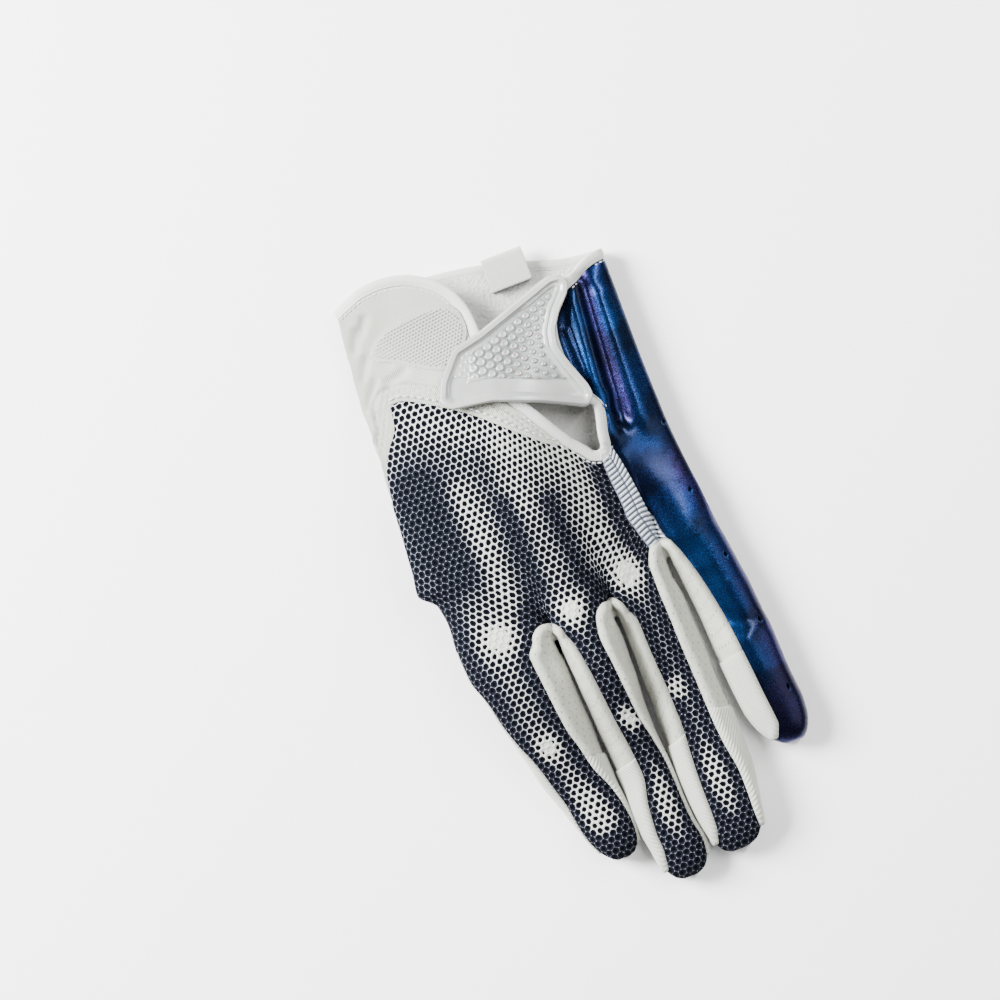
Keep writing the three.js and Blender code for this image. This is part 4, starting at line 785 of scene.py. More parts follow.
class Finish:
    """One material and short ways to add nodes to it."""

    def __init__(self, name):
        self.material = bpy.data.materials.new(name)
        self.material.use_nodes = True
        self.nodes = self.material.node_tree.nodes
        self.links = self.material.node_tree.links
        self.shader = self.nodes["Principled BSDF"]

    def add(self, kind, inputs=(), **settings):
        node = self.nodes.new("ShaderNode" + kind)
        for key, value in settings.items():
            setattr(node, key, value)
        for key, value in dict(inputs).items():
            self.set(node.inputs[key], value)
        return node

    def set(self, socket, value):
        if isinstance(value, bpy.types.NodeSocket):
            self.links.new(value, socket)
        elif socket.type == "RGBA" and len(value) == 3:
            socket.default_value = (*value, 1)
        else:
            socket.default_value = value

    def math(self, operation, *values, clamp=False):
        node = self.add("Math", dict(enumerate(values)), operation=operation)
        node.use_clamp = clamp
        return node.outputs[0]

    def vector(self, operation, *values, **named):
        node = self.add("VectorMath", dict(enumerate(values)), operation=operation)
        for key, value in named.items():
            self.set(node.inputs[key], value)
        return node.outputs["Value" if operation in ("LENGTH", "DOT_PRODUCT", "DISTANCE") else "Vector"]

    def step(self, value, low, high):
        node = self.add("MapRange", {"Value": value, "From Min": low, "From Max": high},
                        interpolation_type="SMOOTHSTEP")
        return node.outputs["Result"]

    def mix(self, share, a, b):
        node = self.add("Mix", data_type="RGBA")
        for socket, value in zip((node.inputs[0], node.inputs[6], node.inputs[7]), (share, a, b)):
            self.set(socket, value)
        return node.outputs[2]

    def cloth(self):
        """Place in the flat cloth, in millimetres."""
        return self.add("UVMap", uv_map="cloth").outputs[0]

    def place(self):
        """Place in the row frame, in millimetres."""
        found = self.add("TexCoord").outputs["Object"]
        return self.vector("SCALE", found, Scale=1 / MM)

    def field(self, name):
        return self.add("Attribute", attribute_name=name).outputs["Fac"]

    def noise(self, size, where=None, detail=3.0, roughness=0.55):
        inputs = {"Vector": where or self.place(), "Scale": 1 / size, "Detail": detail,
                  "Roughness": roughness}
        return self.add("TexNoise", inputs).outputs["Fac"]

    def bumps(self, *heights):
        """Stacks heights in millimetres as bump and links it to the shader."""
        normal = None
        for height in heights:
            node = self.add("Bump", {"Height": height, "Distance": MM, "Strength": 1.0})
            if normal is not None:
                self.links.new(normal, node.inputs["Normal"])
            normal = node.outputs["Normal"]
        self.links.new(normal, self.shader.inputs["Normal"])

    def surface(self, **sockets):
        for key, value in sockets.items():
            self.set(self.shader.inputs[key.replace("_", " ")], value)
        return self.material

    def split(self, vector):
        return self.add("SeparateXYZ", {0: vector}).outputs

    def wave(self, value, pitch):
        """A smooth wave from 0 to 1 with the given pitch."""
        turn = self.math("MULTIPLY", value, 2 * math.pi / pitch)
        return self.math("MULTIPLY_ADD", self.math("SINE", turn), 0.5, 0.5)

    def hexagons(self, where, pitch):
        """Offset from the nearest middle of a hexagonal grid, as shares of its pitch."""
        rows = (1, math.sqrt(3), 1)
        half = (0.5, math.sqrt(3) / 2, 0)
        scaled = self.vector("SCALE", where, Scale=1 / pitch)
        near = [self.vector("SUBTRACT", self.vector("WRAP", start, rows, (0, 0, 0)), half)
                for start in (scaled, self.vector("ADD", scaled, half))]
        sizes = [self.vector("LENGTH", self.vector("MULTIPLY", v, (1, 1, 0))) for v in near]
        first = self.math("LESS_THAN", *sizes)
        pick = self.add("Mix", {0: first}, data_type="VECTOR")
        self.set(pick.inputs[4], near[1])
        self.set(pick.inputs[5], near[0])
        return self.vector("MULTIPLY", pick.outputs[1], (1, 1, 0))


def print_finish():
    """Knitted mesh printed with dots that merge where they are large, each with a pore."""
    f = Finish("printed_mesh")
    cloth = f.cloth()
    uneven = f.add("TexNoise", {"Vector": cloth, "Scale": 0.35, "Detail": 2.0}).outputs["Color"]
    drift = f.vector("SCALE", f.vector("SUBTRACT", uneven, (0.5, 0.5, 0.5)), Scale=0.9)
    shifted = f.vector("ADD", cloth, drift)
    offset = f.hexagons(shifted, PRINT_PITCH)
    distance = f.vector("LENGTH", offset)
    sides = [f.math("ABSOLUTE", f.vector("DOT_PRODUCT", offset, (math.cos(a), math.sin(a), 0)))
             for a in (0, math.pi / 3, 2 * math.pi / 3)]
    hexagon = f.math("MAXIMUM", f.math("MAXIMUM", sides[0], sides[1]), sides[2])
    ink = f.field("ink")
    metric = f.math("MULTIPLY_ADD", hexagon, 0.6, f.math("MULTIPLY", distance, 0.4))
    fine = f.noise(0.5, cloth)
    metric = f.math("ADD", metric, f.math("MULTIPLY", f.math("SUBTRACT", fine, 0.5), 0.12))
    reach = f.math("MULTIPLY_ADD", ink, 0.272, 0.225)
    dark = f.step(f.math("SUBTRACT", reach, metric), -0.018, 0.03)
    dark = f.math("MULTIPLY", dark, f.step(ink, 0.0, 0.12))
    grain = f.noise(0.25, cloth, 4.0)
    thread = f.mix(grain, (0.34, 0.35, 0.33), (0.62, 0.63, 0.59))
    inked = f.mix(grain, (0.1, 0.11, 0.14), (0.34, 0.36, 0.41))
    white = f.mix(f.step(ink, 0.72, 0.98), thread, inked)
    pore = f.step(distance, 0.27, 0.17)
    ring = f.mix(grain, (0.0013, 0.0015, 0.003), (0.008, 0.0095, 0.016))
    navy = f.mix(pore, ring, (0.0008, 0.001, 0.002))
    colour = f.mix(dark, white, navy)
    ridge = f.step(metric, 0.3, 0.47)
    height = f.math("MULTIPLY_ADD", ridge, 0.22, f.math("MULTIPLY", f.math("MULTIPLY", pore, dark), -0.2))
    f.bumps(height, f.math("MULTIPLY", grain, 0.08))
    rough = f.math("MULTIPLY_ADD", dark, 0.05, 0.85)
    return f.surface(Base_Color=colour, Roughness=rough, Sheen_Weight=0.0, Specular_IOR_Level=0.03)


def film_finish():
    """Grippy film with a metallic sheen that goes from blue to violet; its colour also holds painted
    highlights on ridges, painted shade in troughs and on its underside, and broad painted dark patches.
    """
    f = Finish("film")
    cloud = f.noise(9.0, detail=2.0)
    # The hue field read here also holds painted light: low values give brighter blue painted highlights, high
    # values darker violet painted shade; the cloud adds random tone.
    hue = f.math("ADD", f.field("hue"), f.math("MULTIPLY", f.math("SUBTRACT", cloud, 0.5), 0.5), clamp=True)
    ramp = f.add("ValToRGB", {"Fac": hue})
    stops = ramp.color_ramp.elements
    stops[0].position, stops[0].color = 0.0, (0.002, 0.028, 0.115, 1)
    stops[1].position, stops[1].color = 1.0, (0.011, 0.002, 0.032, 1)
    for position, colour in ((0.3, (0.001, 0.009, 0.046, 1)), (0.6, (0.0014, 0.003, 0.032, 1))):
        stops.new(position).color = colour
    grain = f.noise(0.32, detail=2.0)
    flakes = f.step(grain, 0.35, 0.75)
    colour = f.mix(f.math("MULTIPLY", flakes, 0.22), ramp.outputs[0], (0.014, 0.1, 0.32))
    # Broad dark patches from slow noise: painted shade standing in for the film's large folds.
    shade = f.step(f.noise(15.0, detail=1.0), 0.42, 0.6)
    dark = f.vector("SCALE", colour, Scale=0.38)
    colour = f.mix(shade, dark, colour)
    f.bumps(f.math("MULTIPLY", f.noise(3.0, detail=3.0), 0.12), f.math("MULTIPLY", grain, 0.035))
    rough = f.math("MULTIPLY_ADD", flakes, 0.12, 0.23)
    return f.surface(Base_Color=colour, Metallic=0.95, Roughness=rough, Coat_Weight=0.12,
                     Coat_Roughness=0.2)


def knit_finish(name, pitch, turn=0.0, tint=WHITE, depth=0.12, groove_shade_and_tone=0.1):
    """White knitted cloth with fine ribs, darker in the grooves between ribs as painted shade and in broad
    random blotches of tone.
    """
    f = Finish(name)
    u, v, _ = f.split(f.cloth())
    c, s = math.cos(turn), math.sin(turn)
    side = f.math("ADD", f.math("MULTIPLY", u, c), f.math("MULTIPLY", v, s))
    length = f.math("ADD", f.math("MULTIPLY", v, c), f.math("MULTIPLY", u, -s))
    wobble = f.math("MULTIPLY", f.noise(2.5, f.cloth()), 0.25)
    rib = f.wave(f.math("ADD", side, wobble), pitch)
    stitch = f.wave(length, pitch * 0.8)
    thread = f.noise(0.22, f.cloth(), 4.0)
    # Painted shade: the rib wave darkens the colour in the grooves between ribs, and slow noise adds random
    # tone; the last argument sets how much darker.
    shade = f.math("MULTIPLY_ADD", rib, 0.5, f.math("MULTIPLY", f.noise(14.0), 0.5))
    darker = tuple(channel * (1 - 3.2 * groove_shade_and_tone) for channel in tint)
    colour = f.mix(shade, darker, tint)
    f.bumps(f.math("MULTIPLY", rib, depth), f.math("MULTIPLY", stitch, depth * 0.35),
            f.math("MULTIPLY", thread, 0.1))
    return f.surface(Base_Color=colour, Roughness=0.86, Sheen_Weight=0.25, Sheen_Roughness=0.45,
                     Specular_IOR_Level=0.25)


def leather_finish():
    """White leather with a fine grain and pinholes."""
    f = Finish("white_leather")
    cloth = f.cloth()
    holes = f.vector("LENGTH", f.vector("MULTIPLY", f.hexagons(cloth, PINHOLE_PITCH), (1.5, 1, 1)))
    hole = f.step(holes, 0.13, 0.05)
    grain = f.noise(0.8, detail=5.0, roughness=0.65)
    crease = f.add("TexVoronoi", {"Vector": f.place(), "Scale": 1 / 0.9}, feature="SMOOTH_F1").outputs[0]
    base = f.mix(f.noise(7.0), (0.28, 0.285, 0.245), (0.42, 0.425, 0.37))
    colour = f.mix(f.math("MULTIPLY", hole, 0.75), base, (0.2, 0.2, 0.18))
    f.bumps(f.math("MULTIPLY", hole, -0.4), f.math("MULTIPLY", grain, 0.22), f.math("MULTIPLY", crease, 0.1))
    return f.surface(Base_Color=colour, Roughness=0.62, Specular_IOR_Level=0.35, Sheen_Weight=0.08)


def pebble_finish():
    """Light grey pebbled lining."""
    f = Finish("lining")
    cells = f.add("TexVoronoi", {"Vector": f.place(), "Scale": 1 / 0.95}, feature="SMOOTH_F1").outputs[0]
    grain = f.noise(0.6, detail=4.0)
    base = f.mix(f.noise(9.0), (0.4, 0.4, 0.38), (0.5, 0.5, 0.48))
    f.bumps(f.math("MULTIPLY", cells, 0.4), f.math("MULTIPLY", grain, 0.2))
    return f.surface(Base_Color=base, Roughness=0.75, Specular_IOR_Level=0.3)


def silicone_finish():
    """Clouded translucent silicone rubber."""
    f = Finish("silicone")
    cloud = f.noise(6.0)
    low = f.field("low")
    base = f.mix(cloud, (0.24, 0.25, 0.24), (0.34, 0.35, 0.34))
    colour = f.mix(f.math("MULTIPLY", low, 0.8), base, (0.12, 0.135, 0.135))
    f.bumps(f.math("MULTIPLY", f.noise(0.9, detail=2.0), 0.05))
    return f.surface(Base_Color=colour, Roughness=0.3, Subsurface_Weight=0.25, Subsurface_Scale=0.003,
                     Coat_Weight=0.4, Coat_Roughness=0.2)


def thread_finish(name, colour):
    """Twisted sewing thread."""
    f = Finish(name)
    twist = f.noise(0.3, detail=2.0)
    shade = f.mix(twist, tuple(channel * 0.7 for channel in colour), colour)
    f.bumps(f.math("MULTIPLY", twist, 0.12))
    return f.surface(Base_Color=shade, Roughness=0.8, Sheen_Weight=0.2)


def pad_finish():
    """Loop cloth of the dotted pad."""
    f = Finish("pad_cloth")
    fuzz = f.noise(0.3, detail=5.0, roughness=0.7)
    colour = f.mix(fuzz, (0.27, 0.28, 0.255), (0.44, 0.45, 0.415))
    f.bumps(f.math("MULTIPLY", fuzz, 0.25))
    return f.surface(Base_Color=colour, Roughness=0.9, Sheen_Weight=0.3, Specular_IOR_Level=0.2)


printed = print_finish()
film = film_finish()
flap_knit = knit_finish("flap_knit", 0.65, math.radians(55), depth=0.16)
strip_knit = knit_finish("strip_knit", 0.85, math.radians(35), depth=0.16)
binding_knit = knit_finish("binding_knit", 0.6, math.pi / 2, (0.6, 0.6, 0.585), 0.09, 0.07)
webbing = knit_finish("webbing", 0.5, 0.0, (0.52, 0.52, 0.5), 0.1)
leather = leather_finish()
pebble = pebble_finish()
silicone = silicone_finish()
pad_cloth = pad_finish()
white_thread = thread_finish("white_thread", (0.66, 0.66, 0.63))
dark_thread = thread_finish("dark_thread", (0.03, 0.035, 0.07))


def lobe_rows(column, finger, from_edge, to_edge):
    """Rows of a finger out to its tip, with columns at the given shares of its width, for both depths."""
    steps = 1 - (1 - np.linspace(0, 1, LOBE_ROWS + 1)[1:, None]) ** 1.5
    start, end = from_edge(steps), to_edge(steps)
    angle = mixed(start[0], end[0], column[None])
    t = mixed(start[1], end[1], column[None])
    return [finger_point(finger, angle, t, depth) for depth in (0, WALL)]


def columns_below(first, finger):
    """Shares of a finger's width that carry on the columns of a panel's last row."""
    half = finger["wide"](0) * finger["width"] / 2
    share = np.clip((first[:, 0] - across(finger["middle"](0))) / half, -1, 1)
    angles = np.degrees(np.arcsin(share))
    run = np.concatenate([[0], np.cumsum(np.maximum(np.diff(angles), 0.01))])
    return run / run[-1]


def place_along(finger, start, step):
    """Place along a finger's edge, by the share of the way to the tip, where all edges meet."""
    begin = np.where(np.asarray(step) > STRIP_END + 0.02, finger["fork"], start)
    return mixed(begin, finger["fork"] + finger["length"], step)


def edge_of(finger, side, start):
    """The back panel's edge on one side of a finger, by the share of the way to the tip."""
    def read(step):
        t = place_along(finger, start, step)
        out = (t - finger["fork"]) / finger["length"]
        return finger["radial" if side < 0 else "ulnar"](out), t
    return read


def palm_angle(step):
    """Angle of the palm's edge on a finger, by the share of the way to the tip."""
    step = np.asarray(step, float)
    near = mixed(PALM_EDGE, 96.0, smooth(step, 0.8, STRIP_END))
    return np.where(step > STRIP_END, mixed(96.0, 90.0, smooth(step, STRIP_END, STRIP_END + 0.03)), near)


def palm_edge_of(finger, side, start):
    """The palm's edge on one side of a finger, by the share of the way to the tip."""
    def read(step):
        angle = palm_angle(step)
        return (angle if side > 0 else 360 - angle), place_along(finger, start, step)
    return read


# Where each finger's edges start along, towards the thumb and towards the little finger
BACK_STARTS = {
    "index": (side_corner[1], fork_back[0][1]),
    "middle": (fork_back[0][1], fork_back[1][1]),
    "ring": (fork_back[1][1], back_corner[1]),
    "little": (wrap_corner[1], wrap_corner[1]),
}
PALM_STARTS = {
    "index": (side_corner[1], fork_palm[0][1]),
    "middle": (fork_palm[0][1], fork_palm[1][1]),
    "ring": (fork_palm[1][1], fork_palm[2][1]),
    "little": (fork_palm[2][1], fork_palm[2][1]),
}


def add_patch(skin, grid, centre=None, outer=0, inner=WALL):
    """Adds a grid of body angles and places along to a skin, and returns its outer points."""
    points = body_point(grid[..., 0], grid[..., 1], outer)
    skin.add(points, body_point(grid[..., 0], grid[..., 1], inner), flat_rows(points, centre))
    return points


def build_back():
    """The printed mesh back with the backs of three fingers."""
    skin = Skin()
    top = chain(curve(on_body(BACK_TOP), 96), curve(back_slit_places, 32))
    left = chain(curve(np.concatenate([on_body(BACK_SIDE), [side_top]]), 70),
                 curve([side_top, side_corner], 50))
    right = curve(on_body(BACK_RIGHT), 120)
    bottom = between(side_corner, fork_back[0], fork_back[1], back_corner, counts=BACK_COUNTS)
    grid = patch(top, bottom, left, right)
    centre = np.full(len(left), across(-0.12))
    points = add_patch(skin, grid, centre)
    last, last_flat = points[-1], flat_rows(points, centre)[-1]
    start = 0
    for name, count in zip(("index", "middle", "ring"), BACK_COUNTS):
        finger = fingers[name]
        part = slice(start, start + count + 1)
        edges = [edge_of(finger, side, place) for side, place in zip((-1, 1), BACK_STARTS[name])]
        outer, inner = lobe_rows(columns_below(last[part], finger), finger, *edges)
        outer = np.concatenate([last[part][None], outer])
        first_inner = body_point(grid[-1, part, 0], grid[-1, part, 1], WALL)
        inner = np.concatenate([first_inner[None], inner])
        out = np.clip((-outer[:, count // 2, 1] - finger["fork"]) / finger["length"], 0, 1)
        flat = flat_rows(outer, across(finger["middle"](out)))
        fade = 1 - smooth(-outer[:, :, 1], finger["fork"] - 8, finger["fork"] + along(0.45))
        flat[..., 0] += (last_flat[part, 0] - flat[0, :, 0])[None] * fade
        skin.add(outer, inner, flat)
        start += count
    skin.weld()
    valleys = smooth(skin.t, 72, 90) * (1 - smooth(skin.t, 104, 109)) * smooth(skin.edge, 1, 3)
    skin.soften(60, valleys)
    edge_ink = 0.5 * np.exp(-((skin.edge / 4.6) ** 2)) * smooth(skin.t, 60, 78)
    edge_ink += 0.55 * np.exp(-((skin.edge / 3.0) ** 2)) * smooth(skin.t, 150, 165)
    index_tip, middle_tip, ring_tip = (fingers[name]["fork"] + fingers[name]["length"]
                                       for name in ("index", "middle", "ring"))
    tip_of = np.where(skin.s < across(-0.15), index_tip,
                      np.where(skin.s < across(0.06), middle_tip, ring_tip))
    tips = 0.5 * smooth(skin.t, tip_of - 15, tip_of - 6)
    uneven = 0.08 * ripple(skin.outer, 16, 3)
    ink = 0.78 + near_lines(INK, skin.s, skin.t) + edge_ink + tips + uneven
    ink = np.clip(ink, 0, 1.04)
    pinch = 0.45 * near_lines([(-0.06, 1.42, 0.01, 1.45, 0.03, 1)], skin.s, skin.t)
    wave = 0.22 * ripple(skin.outer, 11, 5) + pinch * np.sin(skin.t * 2.1 + skin.s)
    skin.push(wave * smooth(skin.edge, 0, 3) - 0.45 * np.exp(-((skin.edge / 0.8) ** 2)))
    return skin.piece("back_mesh_panel_cloth", printed, "printed_mesh", ["back_mesh_panel"], ink=ink)


def build_palm():
    """The film palm, which wraps round the little-finger edge on to the little finger's back."""
    skin = Skin()
    total = sum(PALM_COUNTS)
    top = turned(curve(palm_cuff_places, total), 360)[::-1]
    right = turned(chain(curve([wrist_corner, side_top], 70), curve([side_top, side_corner], 50)), 360)
    left = curve(on_body(WRAP_LEFT), 120)
    side_low = right[-1]
    turn = np.array([90, (wrap_corner[1] + fork_palm[2][1]) / 2])
    corners = (wrap_corner, turn, fork_palm[2], fork_palm[1], fork_palm[0], side_low)
    bottom = between(*corners, counts=PALM_COUNTS)
    grid = patch(top, bottom, left, right)
    points = add_patch(skin, grid)
    backing = Skin()
    add_patch(backing, grid[:82:2, ::2], None, WALL + 0.03, WALL + 0.12)
    backing.weld().piece("palm_backing_cloth", pebble, "lining")
    start = 0
    parts = [("little", PALM_COUNTS[0] + PALM_COUNTS[1]), ("ring", PALM_COUNTS[2]),
             ("middle", PALM_COUNTS[3]), ("index", PALM_COUNTS[4])]
    for name, count in parts:
        finger = fingers[name]
        part = slice(start, start + count + 1)
        if name == "little":
            from_edge = edge_of(finger, -1, BACK_STARTS[name][0])
            to_edge = palm_edge_of(finger, -1, PALM_STARTS[name][0])
        else:
            from_edge = palm_edge_of(finger, 1, PALM_STARTS[name][1])
            to_edge = palm_edge_of(finger, -1, PALM_STARTS[name][0])
        outer, inner = lobe_rows(np.linspace(0, 1, count + 1), finger, from_edge, to_edge)
        outer = np.concatenate([points[-1, part][None], outer])
        first_inner = body_point(grid[-1, part, 0], grid[-1, part, 1], WALL)
        inner = np.concatenate([first_inner[None], inner])
        skin.add(outer, inner, flat_rows(outer))
        start += count
    skin.weld()
    below_share = smooth(-skin.normals[:, 2], -0.1, 0.5)
    folds = 0.5 * ripple(skin.outer, 16, 9, (1, 0.45, 1)) + 0.25 * ripple(skin.outer, 7, 4, (1, 0.6, 1))
    creases = near_lines(CREASES, skin.s, skin.t) * (1 - below_share)
    # Painted light on the palm film: the table's lines paint highlights on ridges and shade in troughs,
    # down-facing parts get darker violet as painted shade, and there the folds' height is painted in as
    # darker and lighter bands; the ripple adds random tone.
    hue = 0.3 + near_lines(HUE_AND_PAINTED_LIGHT, skin.s, skin.t) * (1 - 0.6 * below_share)
    hue += 0.35 * below_share + 0.4 * ripple(skin.outer, 26, 2) + 0.5 * folds * below_share
    height = folds * mixed(0.35, 0.8, below_share) + creases
    skin.push(height * smooth(skin.edge, 0, 4) - 0.4 * np.exp(-((skin.edge / 0.8) ** 2)))
    piece = skin.piece("palm_panel_film", film, "film", ["palm_panel"], hue=np.clip(hue, 0, 1))
    middles, normals = [], []
    for place, t in ((across(s), along(t)) for s, t in EDGE_HOLES):
        if t < fingers["little"]["fork"]:
            outer, inner = (body_point(body_angle(place, t), t, depth) for depth in (0, WALL))
        else:
            finger = fingers["little"]
            out = (t - finger["fork"]) / finger["length"]
            half = finger["wide"](out) * finger["width"] / 2
            angle = np.degrees(np.arcsin((place - across(finger["middle"](out))) / half))
            outer, inner = (finger_point(finger, angle, t, depth) for depth in (0, WALL))
        middles.append((outer + inner) / 2)
        normals.append(unit(outer - inner))
    return punched(piece, middles, normals)


def build_wrist():
    """The white wrist panel: the cuff's flap, the band beside the mesh and the thumb side."""
    skin = Skin()
    columns_count, rows_count = 240, 110
    top = curve(flap_places, columns_count)
    back_count = round(columns_count * 0.6)
    bottom = chain(curve(on_body(BACK_TOP), back_count)[::-1],
                   curve(np.concatenate([on_body(BACK_SIDE), [side_top]]), columns_count - back_count))
    left = between(top[0], bottom[0], counts=(rows_count,))
    right = curve([wrist_corner, side_top], rows_count)
    grid = patch(top, bottom, left, right)
    points = body_point(grid[..., 0], grid[..., 1], 0)
    inner = body_point(grid[..., 0], grid[..., 1], WALL)
    scale = math.radians(1) * GLOVE_WIDTH / 2
    skin.add(points, inner, np.stack([grid[..., 0] * scale, grid[..., 1]], -1))
    skin.weld()
    pressed = [(*line, 0.017, -1.6) for line in GROOVES]
    puffed = [(*line, 0.036, 0.75) for line in GROOVES]
    grooves = near_lines(pressed + puffed, skin.s, skin.t)
    seam = body_point(*np.concatenate([curve(on_body(BACK_TOP), 120), curve(on_body(BACK_SIDE), 60)]).T)
    off = skin.distance_to(seam)
    band = 1 - smooth(off, 5.4, 6.4)
    ridge = 0.45 * np.exp(-(((off - 6.6) / 0.8) ** 2)) - 0.45 * np.exp(-(((off - 5.2) / 0.6) ** 2))
    row = np.round(skin.t / 1.7)
    cell = np.hypot(skin.s / 1.9 + 0.5 * (row % 2) - np.round(skin.s / 1.9 + 0.5 * (row % 2)),
                    skin.t / 1.7 - row)
    dimples = -0.3 * (1 - smooth(cell, 0.12, 0.4)) * band * smooth(skin.edge, 0.5, 1.5)
    soft = 0.4 * ripple(skin.outer, 13, 7)
    seam_groove = 0.35 * np.exp(-((skin.edge / 0.8) ** 2))
    height = grooves + ridge + dimples + soft * smooth(skin.edge, 0, 3) - seam_groove
    skin.push(np.maximum(height, -1.0))
    return skin.piece("wrist_panel_cloth", flap_knit, "white_cloth", ["wrist_panel"])


def side_lines(finger, side, step, starts, depth, lap=1.0):
    """Three lines of a finger's side wall: on the back, at half height and on the palm side."""
    tip = finger["fork"] + finger["length"]
    back_t, palm_t, middle_t = (mixed(starts[key], tip, step) for key in ("back", "palm", "middle"))
    out = (back_t - finger["fork"]) / finger["length"]
    half = finger["wide"](np.clip(out, 0, 1)) * finger["width"] / 2
    back = finger["radial" if side < 0 else "ulnar"](out)
    palm = side * palm_angle(step)
    widest = side * np.maximum(90, np.abs(back + palm) / 2)
    lapped = back - side * np.degrees(lap / half)
    up = lap * 0.3 if depth == 0 else 0
    lines = [finger_point(finger, lapped, back_t, depth - up), finger_point(finger, widest, middle_t, depth),
             finger_point(finger, palm, palm_t, depth)]
    return np.stack(lines, 1)


def rounded(lines, count=18):
    """Rounds each station between its three lines."""
    turn = np.linspace(0, math.pi, count + 1)
    rise, reach = np.abs(np.cos(turn)), np.sin(turn)
    first = (turn < math.pi / 2)[None, :, None]
    end = np.where(first, lines[:, None, 0], lines[:, None, 2])
    middle = lines[:, None, 1]
    flat = mixed(end[..., :2], middle[..., :2], reach[None, :, None])
    high = mixed(middle[..., 2], end[..., 2], rise[None])
    return np.concatenate([flat, high[..., None]], -1)


def wall_skin(stations):
    """A side wall lofted through stations given for both depths."""
    skin = Skin()
    grids = [rounded(stations(depth)) for depth in (0, WALL)]
    section = flat_rows(grids[0])[..., 0]
    length = flat_rows(grids[0].transpose(1, 0, 2)).transpose(1, 0, 2)[..., 0]
    skin.add(*grids, np.stack([section, length], -1))
    return skin.weld()


def crotch_point(place, depth):
    """Where a gusset turns between two fingers, at half their height."""
    point = body_point(body_angle(across(place[0]), along(place[1])), along(place[1]), 0)
    high = FINGER_THICKNESS / 2 - PRESS + raised(point[0], -point[1])
    return np.array([point[0], point[1] + depth, float(high)])


def starts_of(fork, name, side):
    """Where a finger's side wall starts on the back, below and between."""
    at = 1 if side > 0 else 0
    middle_place = float(along(FORKS[fork]["crotch"][1]))
    return {"back": BACK_STARTS[name][at], "palm": PALM_STARTS[name][at], "middle": middle_place}


def build_gusset(fork):
    """The perforated wall between two fingers, round the crotch, with a rolled top."""
    left_name, right_name = SIDES[fork]
    left, right = fingers[left_name], fingers[right_name]
    steps = np.linspace(0.045, GUSSET_END, 60)

    def stations(depth):
        first = side_lines(left, 1, steps[::-1], starts_of(fork, left_name, 1), depth)
        last = side_lines(right, -1, steps, starts_of(fork, right_name, -1), depth)
        place = FORKS[fork]["crotch"]
        palm = body_point(*fork_palm[fork], depth)
        turns = [(fork_back[fork], 0)]
        if fork == 2:
            turns = [(back_corner, -0.004), (fork_back[2], 0), (wrap_corner, 0.004)]
        lap = np.array([0, -1.0, 0]) if depth else np.array([0, 1.0, 0.3])
        if fork < 2:
            centre = across(FORKS[fork]["back"][0])
            near_side, far_side = centre - first[-1, 0, 0], last[0, 0, 0] - centre
            base = -(first[-1, 0, 1] + last[0, 0, 1]) / 2
            rise = base - along(FORKS[fork]["back"][1] - ARCH_RISE)
            turns = []
            for turn in np.radians(ARCH_TURNS):
                side = math.cos(turn)
                s = centre + side * (near_side if side < 0 else far_side)
                t = base - rise * math.sin(turn)
                turns.append(((body_angle(s, t), t), side * 0.006))
            lap = np.array([0, -1.0, 0]) if depth else np.array([0, 0, 0.9])
        middle = [[body_point(*back, depth) + lap, crotch_point((place[0] + shift, place[1]), depth), palm]
                  for back, shift in turns]
        near = np.concatenate([first[-4:], np.array(middle), last[:4]])
        bend = np.stack([spline(near[:, k], 36) for k in range(3)], 1)
        return np.concatenate([first[:-4], bend, last[4:]])

    skin = wall_skin(stations)
    soft = 0.3 * ripple(skin.outer, 9, 11 + fork)
    section = skin.flat[:, 0]
    past = skin.t - along(FORKS[fork]["back"][1])
    roll = mixed(1.15, 0.55, smooth(past, 8, 40)) * smooth(section, 0, 1.5) * (1 - smooth(section, 2.4, 4.2))
    sunk = 0.55 * smooth(section, 3.6, 6.0) * (1 - smooth(section, 11, 14)) * smooth(past, 4, 12)
    skin.push(soft * smooth(skin.edge, 0, 2) + roll - sunk)
    names = ("gusset_index_middle", "gusset_middle_ring", "gusset_ring_little")
    return skin.piece(names[fork] + "_leather", leather, "white_leather", [names[fork]])


def build_strip(name, node, side, fork):
    """The knitted strip that carries a side wall on to the fingertip."""
    finger = fingers[name]
    starts = starts_of(fork, name, side)
    steps = np.linspace(GUSSET_END - 0.006, STRIP_END + 0.005, 48)
    skin = wall_skin(lambda depth: side_lines(finger, side, steps, starts, depth))
    section = skin.flat[:, 0]
    roll = 0.55 * smooth(section, 0, 1.5) * (1 - smooth(section, 2.4, 4.2))
    skin.push(0.15 * smooth(skin.edge, 0, 1.5) + roll + 0.2 * ripple(skin.outer, 8, 3 + fork))
    return skin.piece(node + "_knit", strip_knit, "white_cloth", [node])


def build_index_strip():
    """The knitted strip along the index finger on the thumb's side."""
    finger = fingers["index"]
    starts = {key: side_corner[1] for key in ("back", "palm", "middle")}
    steps = np.concatenate([[0.002], np.linspace(0.02, STRIP_END + 0.005, 100)])
    skin = wall_skin(lambda depth: side_lines(finger, -1, steps, starts, depth, 0.6))
    skin.push(0.15 * smooth(skin.edge, 0, 1.5) + 0.15 * ripple(skin.outer, 8, 5))
    node = "index_thumb_side_strip"
    return skin.piece(node + "_knit", strip_knit, "white_cloth", [node])


